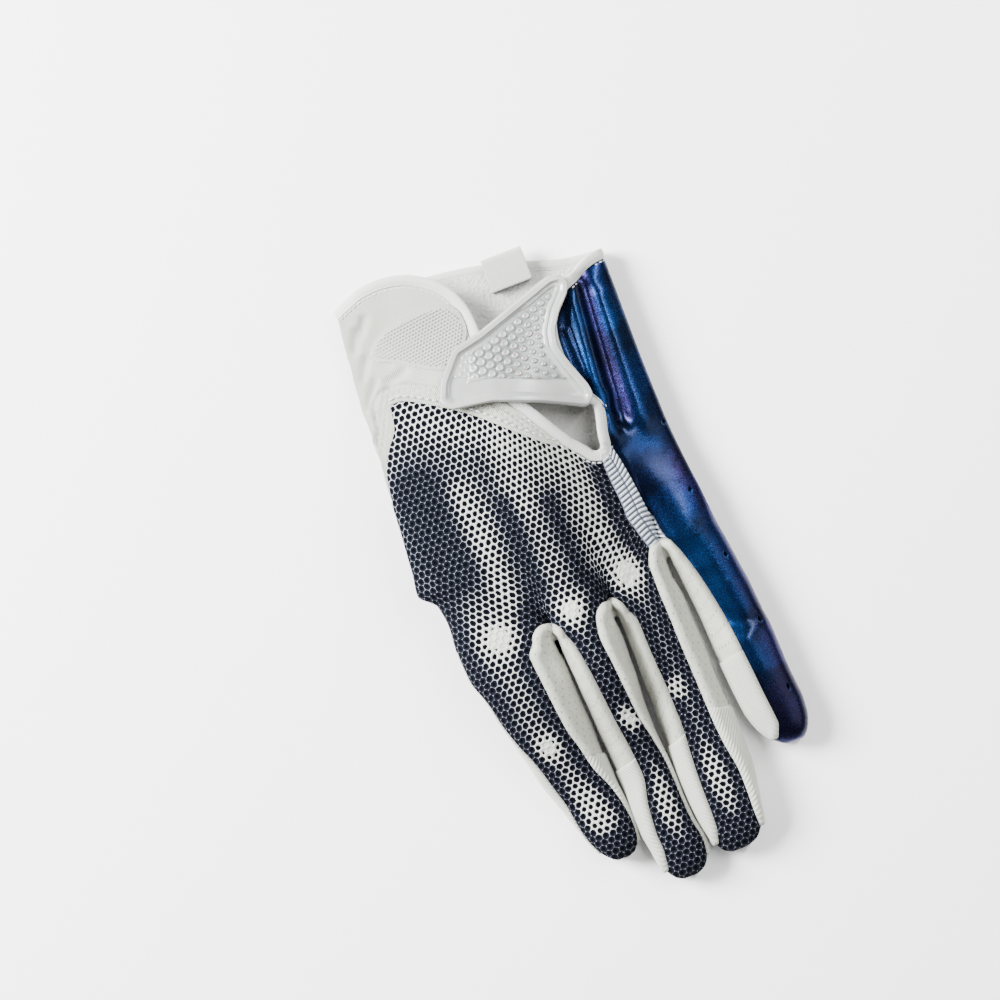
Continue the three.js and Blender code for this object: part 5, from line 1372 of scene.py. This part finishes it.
def build_ribs():
    """The elastic insert with raised ribs and a line down its middle."""
    rows, count = RIBS * 10, 28
    left, right = curve(on_body(BACK_RIGHT), rows), curve(on_body(WRAP_LEFT), rows)
    top = curve(on_body(SLIT_BOTTOM[2:]), count)
    bottom = curve([back_corner, fork_back[2], wrap_corner], count)
    grid = patch(top, bottom, left, right)
    grid_points = body_point(grid[..., 0], grid[..., 1], 0)
    skin = Skin()
    u, v = np.meshgrid(np.linspace(0, 1, count + 1), np.linspace(0, 1, rows + 1))
    skin.add(grid_points, body_point(grid[..., 0], grid[..., 1], WALL), np.stack([u, v], -1))
    skin.weld()
    u, v = skin.flat[:, 0], skin.flat[:, 1]
    rib = 0.5 - 0.5 * np.cos(v * RIBS * 2 * math.pi)
    shoulder = smooth(0.5 - np.abs(u - 0.5), 0.0, 0.06) * smooth(np.abs(u - 0.5), 0.01, 0.06)
    skin.push(0.75 * rib**0.7 * shoulder - 0.25)
    skin.flat = skin.flat * [8, 34]
    return skin.piece("rib_insert_knit", rib_finish(), "rib_knit", ["rib_insert"], rib=rib * shoulder)


def rib_finish():
    """Light ribs with a dark blue-grey between them and down the middle line, painted shade in the grooves.
    """
    f = Finish("rib_insert_knit")
    rib = f.field("rib")
    u, _, _ = f.split(f.cloth())
    thread = f.wave(u, 0.5)
    top = f.mix(thread, (0.3, 0.34, 0.39), (0.52, 0.56, 0.6))
    # Where the rib field is low, in the recessed grooves, edges and middle line, the dark blue-grey is
    # painted shade.
    colour = f.mix(f.step(rib, 0.2, 0.55), (0.07, 0.085, 0.12), top)
    f.bumps(f.math("MULTIPLY", thread, 0.1), f.math("MULTIPLY", f.noise(0.25), 0.08))
    return f.surface(Base_Color=colour, Roughness=0.8, Sheen_Weight=0.2)


def frame_along(centre, normal, closed=True):
    """Directions along and across a line of points."""
    if closed:
        way = np.roll(centre, -1, 0) - np.roll(centre, 1, 0)
    else:
        way = np.gradient(centre, axis=0)
    way /= np.maximum(np.linalg.norm(way, axis=1, keepdims=True), 1e-9)
    away = np.cross(way, normal)
    away /= np.maximum(np.linalg.norm(away, axis=1, keepdims=True), 1e-9)
    return way, away


def unit(vectors):
    """Vectors of length 1."""
    return vectors / np.maximum(np.linalg.norm(vectors, axis=-1, keepdims=True), 1e-9)


def binding_path():
    """The closed line of the cloth's free edge round the cuff and the slit."""
    slit = chain(curve(on_body(SLIT_BOTTOM[2:]), 40)[::-1], curve(back_slit_places, 40)[::-1])
    return chain(curve(flap_places, 220), curve(palm_cuff_places, 220), turned(slit, -360))[:-1]


def build_binding():
    """The knitted tape folded over the cloth's free edge round the cuff and the slit."""
    path = binding_path()
    outer, inner = body_point(path[:, 0], path[:, 1], 0), body_point(path[:, 0], path[:, 1], WALL)
    normal = unit(outer - inner)
    _, away = frame_along(outer, normal)
    window = np.hanning(9) / np.hanning(9).sum()
    for k in range(3):
        around = np.concatenate([away[-4:, k], away[:, k], away[:4, k]])
        away[:, k] = np.convolve(around, window, "valid")
    away = unit(away)
    centre = (outer + inner) / 2 + away * (GAP + BINDING_WIDTH / 2 - 0.45)
    turns = np.linspace(0, 2 * math.pi, 28, endpoint=False)
    wide, high = BINDING_WIDTH / 2 + 0.45, BINDING_THICKNESS / 2
    shape_across = np.sign(np.cos(turns)) * np.abs(np.cos(turns)) ** 0.8 * wide
    shape_up = np.sign(np.sin(turns)) * np.abs(np.sin(turns)) ** 0.65 * high
    crease = 0.28 * np.exp(-((shape_across + 0.55 * wide) / 0.22) ** 2)
    shape_up = shape_up - np.sign(shape_up) * crease
    ring = (centre[:, None] + away[:, None] * shape_across[None, :, None]
            + normal[:, None] * shape_up[None, :, None])
    ring += normal[:, None] * (0.12 * ripple(centre, 5, 21))[:, None, None]
    lowest = ring[..., 2].min(1)
    ring[..., 2] += np.maximum(-lowest, 0)[:, None]
    rows, count = ring.shape[:2]
    number = np.arange(rows * count).reshape(rows, count)
    after, beside = np.roll(number, -1, 0), np.roll(number, -1, 1)
    faces = np.stack([number, beside, np.roll(after, -1, 1), after], -1).reshape(-1, 4)
    run = np.cumsum(np.linalg.norm(np.diff(centre, axis=0, prepend=centre[:1]), axis=1))
    flat = np.stack(np.broadcast_arrays(turns[None] * wide, run[:, None]), -1).reshape(-1, 2)
    faces = outward(ring.reshape(-1, 3), faces)
    return make_piece("cuff_binding_tape", ring.reshape(-1, 3), faces, binding_knit, "binding",
                      ["cuff_binding"], flat)


def punched(piece, places, normals, length=2.6, wide=1.3):
    """Cuts diamond-shaped holes through a piece at the given points."""
    points, faces = [], []
    for place, normal in zip(places, normals):
        side = unit(np.cross([0, 1, 0], normal))
        lengthways = unit(np.cross(normal, side))
        corners = [lengthways * length / 2, side * wide / 2, -lengthways * length / 2, -side * wide / 2]
        first = len(points)
        for sign in (-1, 1):
            points += [place + corner + normal * sign * WALL * 2 for corner in corners]
        box = [(0, 1, 2, 3), (4, 7, 6, 5), (0, 4, 5, 1), (1, 5, 6, 2), (2, 6, 7, 3), (3, 7, 4, 0)]
        faces += [[first + i for i in face] for face in box]
    points = np.array(points)
    mesh = bpy.data.meshes.new("punch")
    mesh.from_pydata(((points + SHIFT) * MM).tolist(), [], outward(points, np.array(faces)).tolist())
    cutter = bpy.data.objects.new("punch", mesh)
    bpy.context.scene.collection.objects.link(cutter)
    cut = piece.modifiers.new("holes", "BOOLEAN")
    cut.operation, cut.solver, cut.object = "DIFFERENCE", "EXACT", cutter
    depsgraph = bpy.context.evaluated_depsgraph_get()
    whole = bpy.data.meshes.new_from_object(piece.evaluated_get(depsgraph), preserve_all_data_layers=True,
                                            depsgraph=depsgraph)
    piece.modifiers.clear()
    piece.data = whole
    bpy.data.objects.remove(cutter)
    return piece


def outward(points, faces):
    """Turns all faces of a closed mesh over if they look inwards."""
    a, b, c, d = (points[faces[:, k]] for k in range(4))
    volume = (np.cross(c - a, d - b) * (a + b + c + d)).sum()
    return faces if volume > 0 else faces[:, ::-1]


def build_lining():
    """The pebbled lining on the palm's inner face, seen in the cuff and the slit."""
    air = 3.8 * GAP
    cuff = curve(on_body(CUFF_BELOW[::-1], True), 80)
    angles = np.linspace(108, 196, 121)
    start = np.interp(angles, cuff[:, 0], cuff[:, 1]) + along(0.004)
    share = np.linspace(0, 1, 101)[:, None]
    grid_angle = np.broadcast_to(angles[None], (101, 121))
    grid_t = mixed(start[None], along(0.78), share)
    depth = WALL + mixed(GAP / 2, air, smooth(grid_t - start[None], along(0.01), along(0.05)))
    skin = Skin()
    outer = body_point(grid_angle, grid_t, depth + LINING_THICKNESS)
    skin.add(outer, body_point(grid_angle, grid_t, depth), flat_rows(outer))
    skin.weld()
    skin.push(0.25 * ripple(skin.outer, 12, 31) * smooth(skin.edge, 0, 3))
    return skin.piece("cuff_lining_pebbled", pebble, "lining", ["cuff_lining"])


def build_loop():
    """The webbing loop sewn inside the palm edge of the cuff and folded over outside it."""
    low = WALL + 3.8 * GAP + LINING_THICKNESS + GAP
    high = low + 2 * LOOP_THICKNESS + LOOP_OPENING
    sewn, fold = -along(LOOP["sewn"]), -along(LOOP["fold"])
    radius = (high - low) / 2
    turn = np.linspace(-math.pi / 2, math.pi / 2, 17)
    straight = np.linspace(sewn, fold - radius, 20)
    line_y = np.concatenate([straight, fold - radius + radius * np.cos(turn[1:-1]), straight[::-1]])
    line_z = np.concatenate([np.full(20, low), low + radius + radius * np.sin(turn[1:-1]), np.full(20, high)])
    way = np.stack([np.gradient(line_y), np.gradient(line_z)], -1)
    way = unit(way)
    inside = np.stack([-way[:, 1], way[:, 0]], -1) * LOOP_THICKNESS
    across_count = 30
    x = np.linspace(across(LOOP["left"]), across(LOOP["right"]), across_count)
    rib = 0.06 * np.cos(np.linspace(0, 12 * 2 * math.pi, across_count))
    outer = np.stack(np.broadcast_arrays(x[None], line_y[:, None], line_z[:, None]), -1).astype(float)
    inner_y, inner_z = line_y + inside[:, 0], line_z + inside[:, 1]
    inner = np.stack(np.broadcast_arrays(x[None], inner_y[:, None], inner_z[:, None]), -1)
    skin = Skin().add(outer, inner, flat_rows(outer)).weld()
    skin.push(np.interp(skin.s, x, rib))
    return skin.piece("pull_loop_webbing", webbing, "binding", ["pull_loop"])


def outline_points(corners, radius, count):
    """A closed outline with rounded corners, evenly spaced."""
    p = np.array(corners, float)
    fine = []
    for i in range(len(p)):
        before, here, after = p[i - 1], p[i], p[(i + 1) % len(p)]
        reach = min(radius, 0.45 * np.linalg.norm(before - here), 0.45 * np.linalg.norm(after - here))
        a, b = here + unit(before - here) * reach, here + unit(after - here) * reach
        f = np.linspace(0, 1, 10)[:, None]
        fine.append((1 - f) ** 2 * a + 2 * f * (1 - f) * here + f**2 * b)
    fine = np.concatenate(fine)
    fine = np.concatenate([fine, fine[:1]])
    run = np.concatenate([[0], np.cumsum(np.linalg.norm(np.diff(fine, axis=0), axis=1))])
    at = np.linspace(0, run[-1], count, endpoint=False)
    return np.stack([np.interp(at, run, fine[:, k]) for k in (0, 1)], -1)


def plate(outline, middle, rings, low, height):
    """A plate laid on the back: rings from its outline to its middle, with a height at each place."""
    share = np.concatenate([[1, 0.995, 0.985], np.linspace(0.972, 0, rings)])[:, None, None]
    places = mixed(np.array(middle, float), outline[None], share)
    s, t = places[..., 0], places[..., 1]
    top = height(s, t)
    top[0] -= 0.35
    angle = body_angle(s, t)
    upper, lower = body_point(angle, t, 0), body_point(angle, t, WALL)
    normal = unit(upper - lower)
    skin = Skin()
    skin.add(upper + normal * top[..., None], upper + normal * low, places, around=True)
    return skin.weld()


def round_distance(s, t):
    """Distance from the nearest round of the tab, as a share of their pitch, and its place in their rows."""
    turn = math.radians(TAB_TURN)
    s, t = s - across(TAB_MIDDLE[0]), t - along(TAB_MIDDLE[1])
    u = (s * math.cos(turn) + t * math.sin(turn)) / TAB_PITCH
    v = (-s * math.sin(turn) + t * math.cos(turn)) / TAB_PITCH
    root = math.sqrt(3)
    a = np.hypot(u - np.round(u), v - root * np.round(v / root))
    b = np.hypot(u - 0.5 - np.round(u - 0.5), v - root / 2 - root * np.round((v - root / 2) / root))
    return np.minimum(a, b), u, v


def tab_relief(outline, s, t):
    """The tab's height at a place, and how much of its lower, darker level shows there."""
    near = np.full(s.shape, 1e9)
    for start in range(0, len(outline), 30):
        some = outline[start : start + 30]
        off = np.hypot(s[..., None] - some[:, 0], t[..., None] - some[:, 1]).min(-1)
        near = np.minimum(near, off)
    rim = smooth(near, 0.0, 0.7) * (1 - smooth(near, 1.9, 2.4)) * TAB_RIM
    right = smooth(s - 0.18 * (t - 28), 12, 14)
    second = right * smooth(near, 2.6, 2.9) * (1 - smooth(near, 3.4, 3.8)) * TAB_SECOND_RIM
    off, u, v = round_distance(s, t)
    inside = smooth(near, 3.6, 4.6) * smooth(s + 0.25 * (t - 20), -9, -6)
    upper = 1 - smooth(t - 0.42 * s, 33.5, 34.5)
    size = mixed(0.44, 0.26, smooth(s + 0.8 * (t - 18), 0, 26))
    dome = (1 - smooth(off, size - 0.1, size)) * inside * upper
    ring = dome * (1 - 0.45 * (1 - smooth(off, 0.08, size - 0.12)))
    small = np.minimum(np.hypot((u * 1.6) % 1 - 0.5, (v * 1.6) % 1 - 0.5), 1)
    left = (1 - smooth(s + 0.25 * (t - 20), -8, -6)) * smooth(near, 3.0, 4.0) * upper
    nubs = (1 - smooth(small, 0.12, 0.26)) * left * TAB_NUB
    recess = TAB_RECESS * smooth(near, 2.6, 3.2) * (1 - smooth(near, 7.2, 7.8)) * (1 - upper)
    sunk = smooth(near, 2.4, 3.2) * TAB_SUNK
    height = TAB_LOW + TAB_THICKNESS + rim + second - sunk + ring * TAB_ROUND + nubs - recess
    return height, smooth(near, 3.2, 4.0) * (1 - dome) * upper * inside


def build_tab():
    """The silicone tab: a raised rim, doubled on the right, and a field of raised rounds."""
    hand = np.array([GLOVE_WIDTH, PALM_LENGTH])
    outline = outline_points(np.array(TAB_OUTLINE) * hand, 1.5, 420)
    skin = plate(outline, TAB_MIDDLE * hand, 96, TAB_LOW, lambda s, t: tab_relief(outline, s, t)[0])
    low = tab_relief(outline, skin.flat[:, 0], skin.flat[:, 1])[1]
    return skin.piece("closure_tab_silicone", silicone, "silicone", ["closure_tab"], low=low)


def build_pad():
    """The pad on the flap, with rows of fine raised dots."""
    hand = np.array([GLOVE_WIDTH, PALM_LENGTH])
    outline = outline_points(np.array(PAD_OUTLINE) * hand, 5, 300)

    def height(s, t):
        near = np.hypot(s[..., None] - outline[::6, 0], t[..., None] - outline[::6, 1]).min(-1)
        u, v = s / PAD_PITCH, (t + 0.12 * s) / (PAD_PITCH * 0.92)
        u = u + 0.5 * (np.round(v) % 2)
        off = np.hypot(u - np.round(u), v - np.round(v))
        dots = (1 - smooth(off, 0.14, 0.42)) * smooth(near, 1.2, 1.8)
        return 2 * GAP + 0.35 * smooth(near, 0, 2.2) + 0.55 * dots

    skin = plate(outline, PAD_MIDDLE * hand, 110, 2 * GAP - PAD_THICKNESS / 2, height)
    return skin.piece("loop_pad_cloth", pad_cloth, "white_cloth", ["loop_pad"])


def build_strap():
    """The short strap that carries the tab on to the film."""
    corners = np.array([(0.204, 0.25), (0.236, 0.25), (0.236, 0.43), (0.204, 0.43)])
    outline = outline_points(corners * [GLOVE_WIDTH, PALM_LENGTH], 0.8, 160)
    low = 2 * GAP

    def height(s, t):
        near = np.hypot(s[..., None] - outline[::4, 0], t[..., None] - outline[::4, 1]).min(-1)
        return low + STRAP_THICKNESS * mixed(0.12, 0.5, smooth(near, 0, 1.6))

    skin = plate(outline, (22.0, 34.0), 20, low, height)
    # The strap's hue also carries painted light from the table: brighter azure painted highlights on ridges,
    # darker violet painted shade in troughs; the ripple adds random tone.
    hue = 0.3 + near_lines(HUE_AND_PAINTED_LIGHT, skin.s, skin.t) + 0.4 * ripple(skin.outer, 26, 2)
    return skin.piece("closure_strap_film", film, "film", ["closure_strap"], hue=np.clip(hue, 0, 1))


def cap_seam(angle):
    """Where the cap's seam runs on the thumb, as a share of its length."""
    return CAP_FROM + CAP_BOW * np.sin(np.radians(angle - 90)) ** 2


def under_palm(points):
    """Keeps the thumb below the palm that lies on it."""
    s, t = points[..., 0], -points[..., 1]
    low = body_point(body_angle(s, t, True), t, 0)[..., 2] - GAP
    points[..., 2] = np.minimum(points[..., 2], np.maximum(low, SEAM_HALF))
    return points


def build_thumb():
    """The thumb below the palm: film in front, white knit behind and a film cap on its tip."""
    front, back = np.linspace(-90, 90, 41)[None], np.linspace(90, 270, 41)[None]
    seam = cap_seam(back)
    whole = 1 - (1 - np.linspace(0, 1, 110)[:, None]) ** 1.35 * np.ones((1, 41))
    tip = mixed(seam, 1, 1 - (1 - np.linspace(0, 1, 40)[:, None]) ** 1.5)
    parts = [
        ("thumb_front_film", film, "film", ["thumb_front"], front, whole),
        ("thumb_back_knit", flap_knit, "white_cloth", [], back, np.linspace(0, 1, 90)[:, None] * seam),
        ("thumb_tip_cap_film", film, "film", ["thumb_tip_cap"], back, tip),
    ]
    for name, material, slot, nodes, angle, out in parts:
        outer, inner = (under_palm(thumb_point(angle, out, depth)) for depth in (0, WALL))
        skin = Skin().add(outer, inner, flat_rows(outer)).weld()
        below_share = smooth(-skin.normals[:, 2], 0, 0.6)
        rounding = -0.35 * np.exp(-((skin.edge / 0.8) ** 2))
        skin.push(0.3 * ripple(skin.outer, 9, 13) * smooth(skin.edge, 0, 3) + rounding)
        # Down-facing parts of the thumb get slightly darker violet as painted shade; the ripple adds random
        # tone.
        hue = np.clip(0.45 + 0.5 * ripple(skin.outer, 18, 2) + 0.1 * below_share, 0, 1)
        piece = skin.piece(name, material, slot, nodes, hue=hue)
        if name == "thumb_back_knit":
            spots = [(angle, start + i * HOLE_PITCH / THUMB_LENGTH)
                     for angle, start, count in THUMB_HOLES for i in range(count)]
            outer, inner = (np.array([thumb_point(a, o, depth) for a, o in spots]) for depth in (0, WALL))
            punched(piece, (outer + inner) / 2, unit(outer - inner))


def stitches(name, lines, material, slot, pitch=2.4, length=1.7, thick=0.3):
    """Short threads along lines of points with normals, as one piece."""
    sides = 6
    turns = np.linspace(0, 2 * math.pi, sides, endpoint=False)
    shape = [(-0.5, 0.0, -0.25), (-0.44, 0.7, 0.0), (-0.2, 1.0, 0.22), (0.2, 1.0, 0.22),
             (0.44, 0.7, 0.0), (0.5, 0.0, -0.25)]
    places, faces = [], []
    for points, normals in lines:
        run = np.concatenate([[0], np.cumsum(np.linalg.norm(np.diff(points, axis=0), axis=1))])
        at = np.arange(pitch / 2, run[-1] - pitch / 2, pitch)
        middle = np.stack([np.interp(at, run, points[:, k]) for k in range(3)], -1)
        normal = unit(np.stack([np.interp(at, run, normals[:, k]) for k in range(3)], -1))
        before = np.stack([np.interp(at - 0.3, run, points[:, k]) for k in range(3)], -1)
        after = np.stack([np.interp(at + 0.3, run, points[:, k]) for k in range(3)], -1)
        way = unit(after - before)
        aside = unit(np.cross(way, normal))
        for m, n, w, a in zip(middle, normal, way, aside):
            first = len(places)
            for place, size, up in shape:
                for turn in turns:
                    offset = a * math.cos(turn) * size + n * (math.sin(turn) * size * 0.8 + up)
                    places.append(m + w * place * length + offset * thick)
            for j in range(len(shape) - 1):
                for k in range(sides):
                    p, q = first + j * sides + k, first + j * sides + (k + 1) % sides
                    faces.append((p, q, q + sides, p + sides))
    threads = np.array(places).reshape(-1, len(shape) * sides, 3)
    threads[..., 2] += np.maximum(-threads[..., 2].min(1), 0)[:, None]
    return make_piece(name, threads.reshape(-1, 3), np.array(faces), material, slot)


def line_on_body(path, lift=0.0):
    """Points and directions outwards along a line on the body."""
    outer, inner = body_point(path[:, 0], path[:, 1], 0), body_point(path[:, 0], path[:, 1], WALL)
    normal = unit(outer - inner)
    return outer + normal * lift, normal


def beside(line, distance):
    """A line moved across its surface by a distance."""
    points, normal = line
    _, away = frame_along(points, normal, closed=False)
    return points + away * distance, normal


def build_stitching():
    """The sewing that shows: along the mesh, inside the binding, and on the fingers' film."""
    band = line_on_body(curve(on_body(BACK_TOP), 200))
    side = line_on_body(curve(on_body(BACK_SIDE), 60))
    stitches("band_stitching", [beside(band, -1.6), beside(side, 1.4)], white_thread, "white_cloth")
    edge = line_on_body(binding_path())
    inside = beside(edge, -1.15)
    stitches("binding_stitching", [inside], white_thread, "binding", 1.9, 1.3, 0.26)
    rows = []
    step = np.linspace(0.06, 0.9, 80)
    for finger in fingers.values():
        t = mixed(finger["fork"], finger["fork"] + finger["length"], step)
        for side_angle in (146, 214):
            outer = finger_point(finger, side_angle, t, 0)
            rows.append((outer, unit(outer - finger_point(finger, side_angle, t, WALL))))
    stitches("finger_film_stitching", rows, dark_thread, "film", 2.6, 1.8)
    angle = np.linspace(96, 264, 90)
    rows = []
    for shift in (-0.012, -0.032):
        outer = thumb_point(angle, cap_seam(angle) + shift + 0.02 * (shift < -0.02), 0)
        inner = thumb_point(angle, cap_seam(angle) + shift, WALL)
        rows.append((outer, unit(outer - inner)))
    stitches("thumb_cap_stitching", rows, white_thread, "white_cloth")


build_back()
build_palm()
build_wrist()
for fork_number in range(3):
    build_gusset(fork_number)
build_strip("index", "index_inner_strip", 1, 0)
build_strip("middle", "middle_index_side_strip", -1, 0)
build_strip("middle", "middle_ring_side_strip", 1, 1)
build_strip("ring", "ring_middle_side_strip", -1, 1)
build_strip("ring", "ring_little_side_strip", 1, 2)
build_strip("little", "little_inner_strip", -1, 2)
build_index_strip()
build_ribs()
build_binding()
build_lining()
build_loop()
build_pad()
build_strap()
build_tab()
build_thumb()
build_stitching()


def build_stage():
    """A plain pale floor, soft light from above, and the camera looking straight down."""
    size = 3.0
    mesh = bpy.data.meshes.new("floor")
    corners = [(-size, -size, -0.0002), (size, -size, -0.0002), (size, size, -0.0002), (-size, size, -0.0002)]
    mesh.from_pydata(corners, [], [(0, 1, 2, 3)])
    floor = bpy.data.objects.new("floor", mesh)
    bpy.context.scene.collection.objects.link(floor)
    f = Finish("floor")
    f.surface(Base_Color=(0.96, 0.96, 0.96), Roughness=0.9)
    mesh.materials.append(f.material)

    world = bpy.data.worlds.new("studio")
    world.use_nodes = True
    world.node_tree.nodes["Background"].inputs["Color"].default_value = (1, 1, 1, 1)
    world.node_tree.nodes["Background"].inputs["Strength"].default_value = 0.42
    bpy.context.scene.world = world

    lights = [
        ("key", (-0.8, 0.62, 0.65), 0.55, 0.55, 98.0),
        ("fill", (0.75, -0.3, 0.8), 0.7, 0.7, 4.0),
        ("strip", (0.5, 0.3, 0.75), 0.1, 0.9, 12.0),
    ]
    for name, place, wide, tall, power in lights:
        light = bpy.data.lights.new(name, "AREA")
        light.shape = "RECTANGLE"
        light.size, light.size_y, light.energy = wide, tall, power
        lamp = bpy.data.objects.new(name, light)
        lamp.location = place
        lamp.rotation_euler = (-Vector(place)).to_track_quat("-Z", "Y").to_euler()
        bpy.context.scene.collection.objects.link(lamp)

    camera = bpy.data.cameras.new("camera")
    height, across_view, turn = 0.95, 0.315, math.radians(-21)
    camera.sensor_width = 36
    camera.lens = camera.sensor_width * height / across_view
    eye = bpy.data.objects.new("camera", camera)
    right = Vector((math.cos(turn), math.sin(turn), 0))
    up = Vector((-math.sin(turn), math.cos(turn), 0))
    aim = -right * 0.0248 + up * 0.0197
    eye.location = aim + Vector((0, 0, height + 0.012))
    eye.rotation_euler = (0, 0, turn)
    bpy.context.scene.collection.objects.link(eye)
    bpy.context.scene.camera = eye


build_stage()
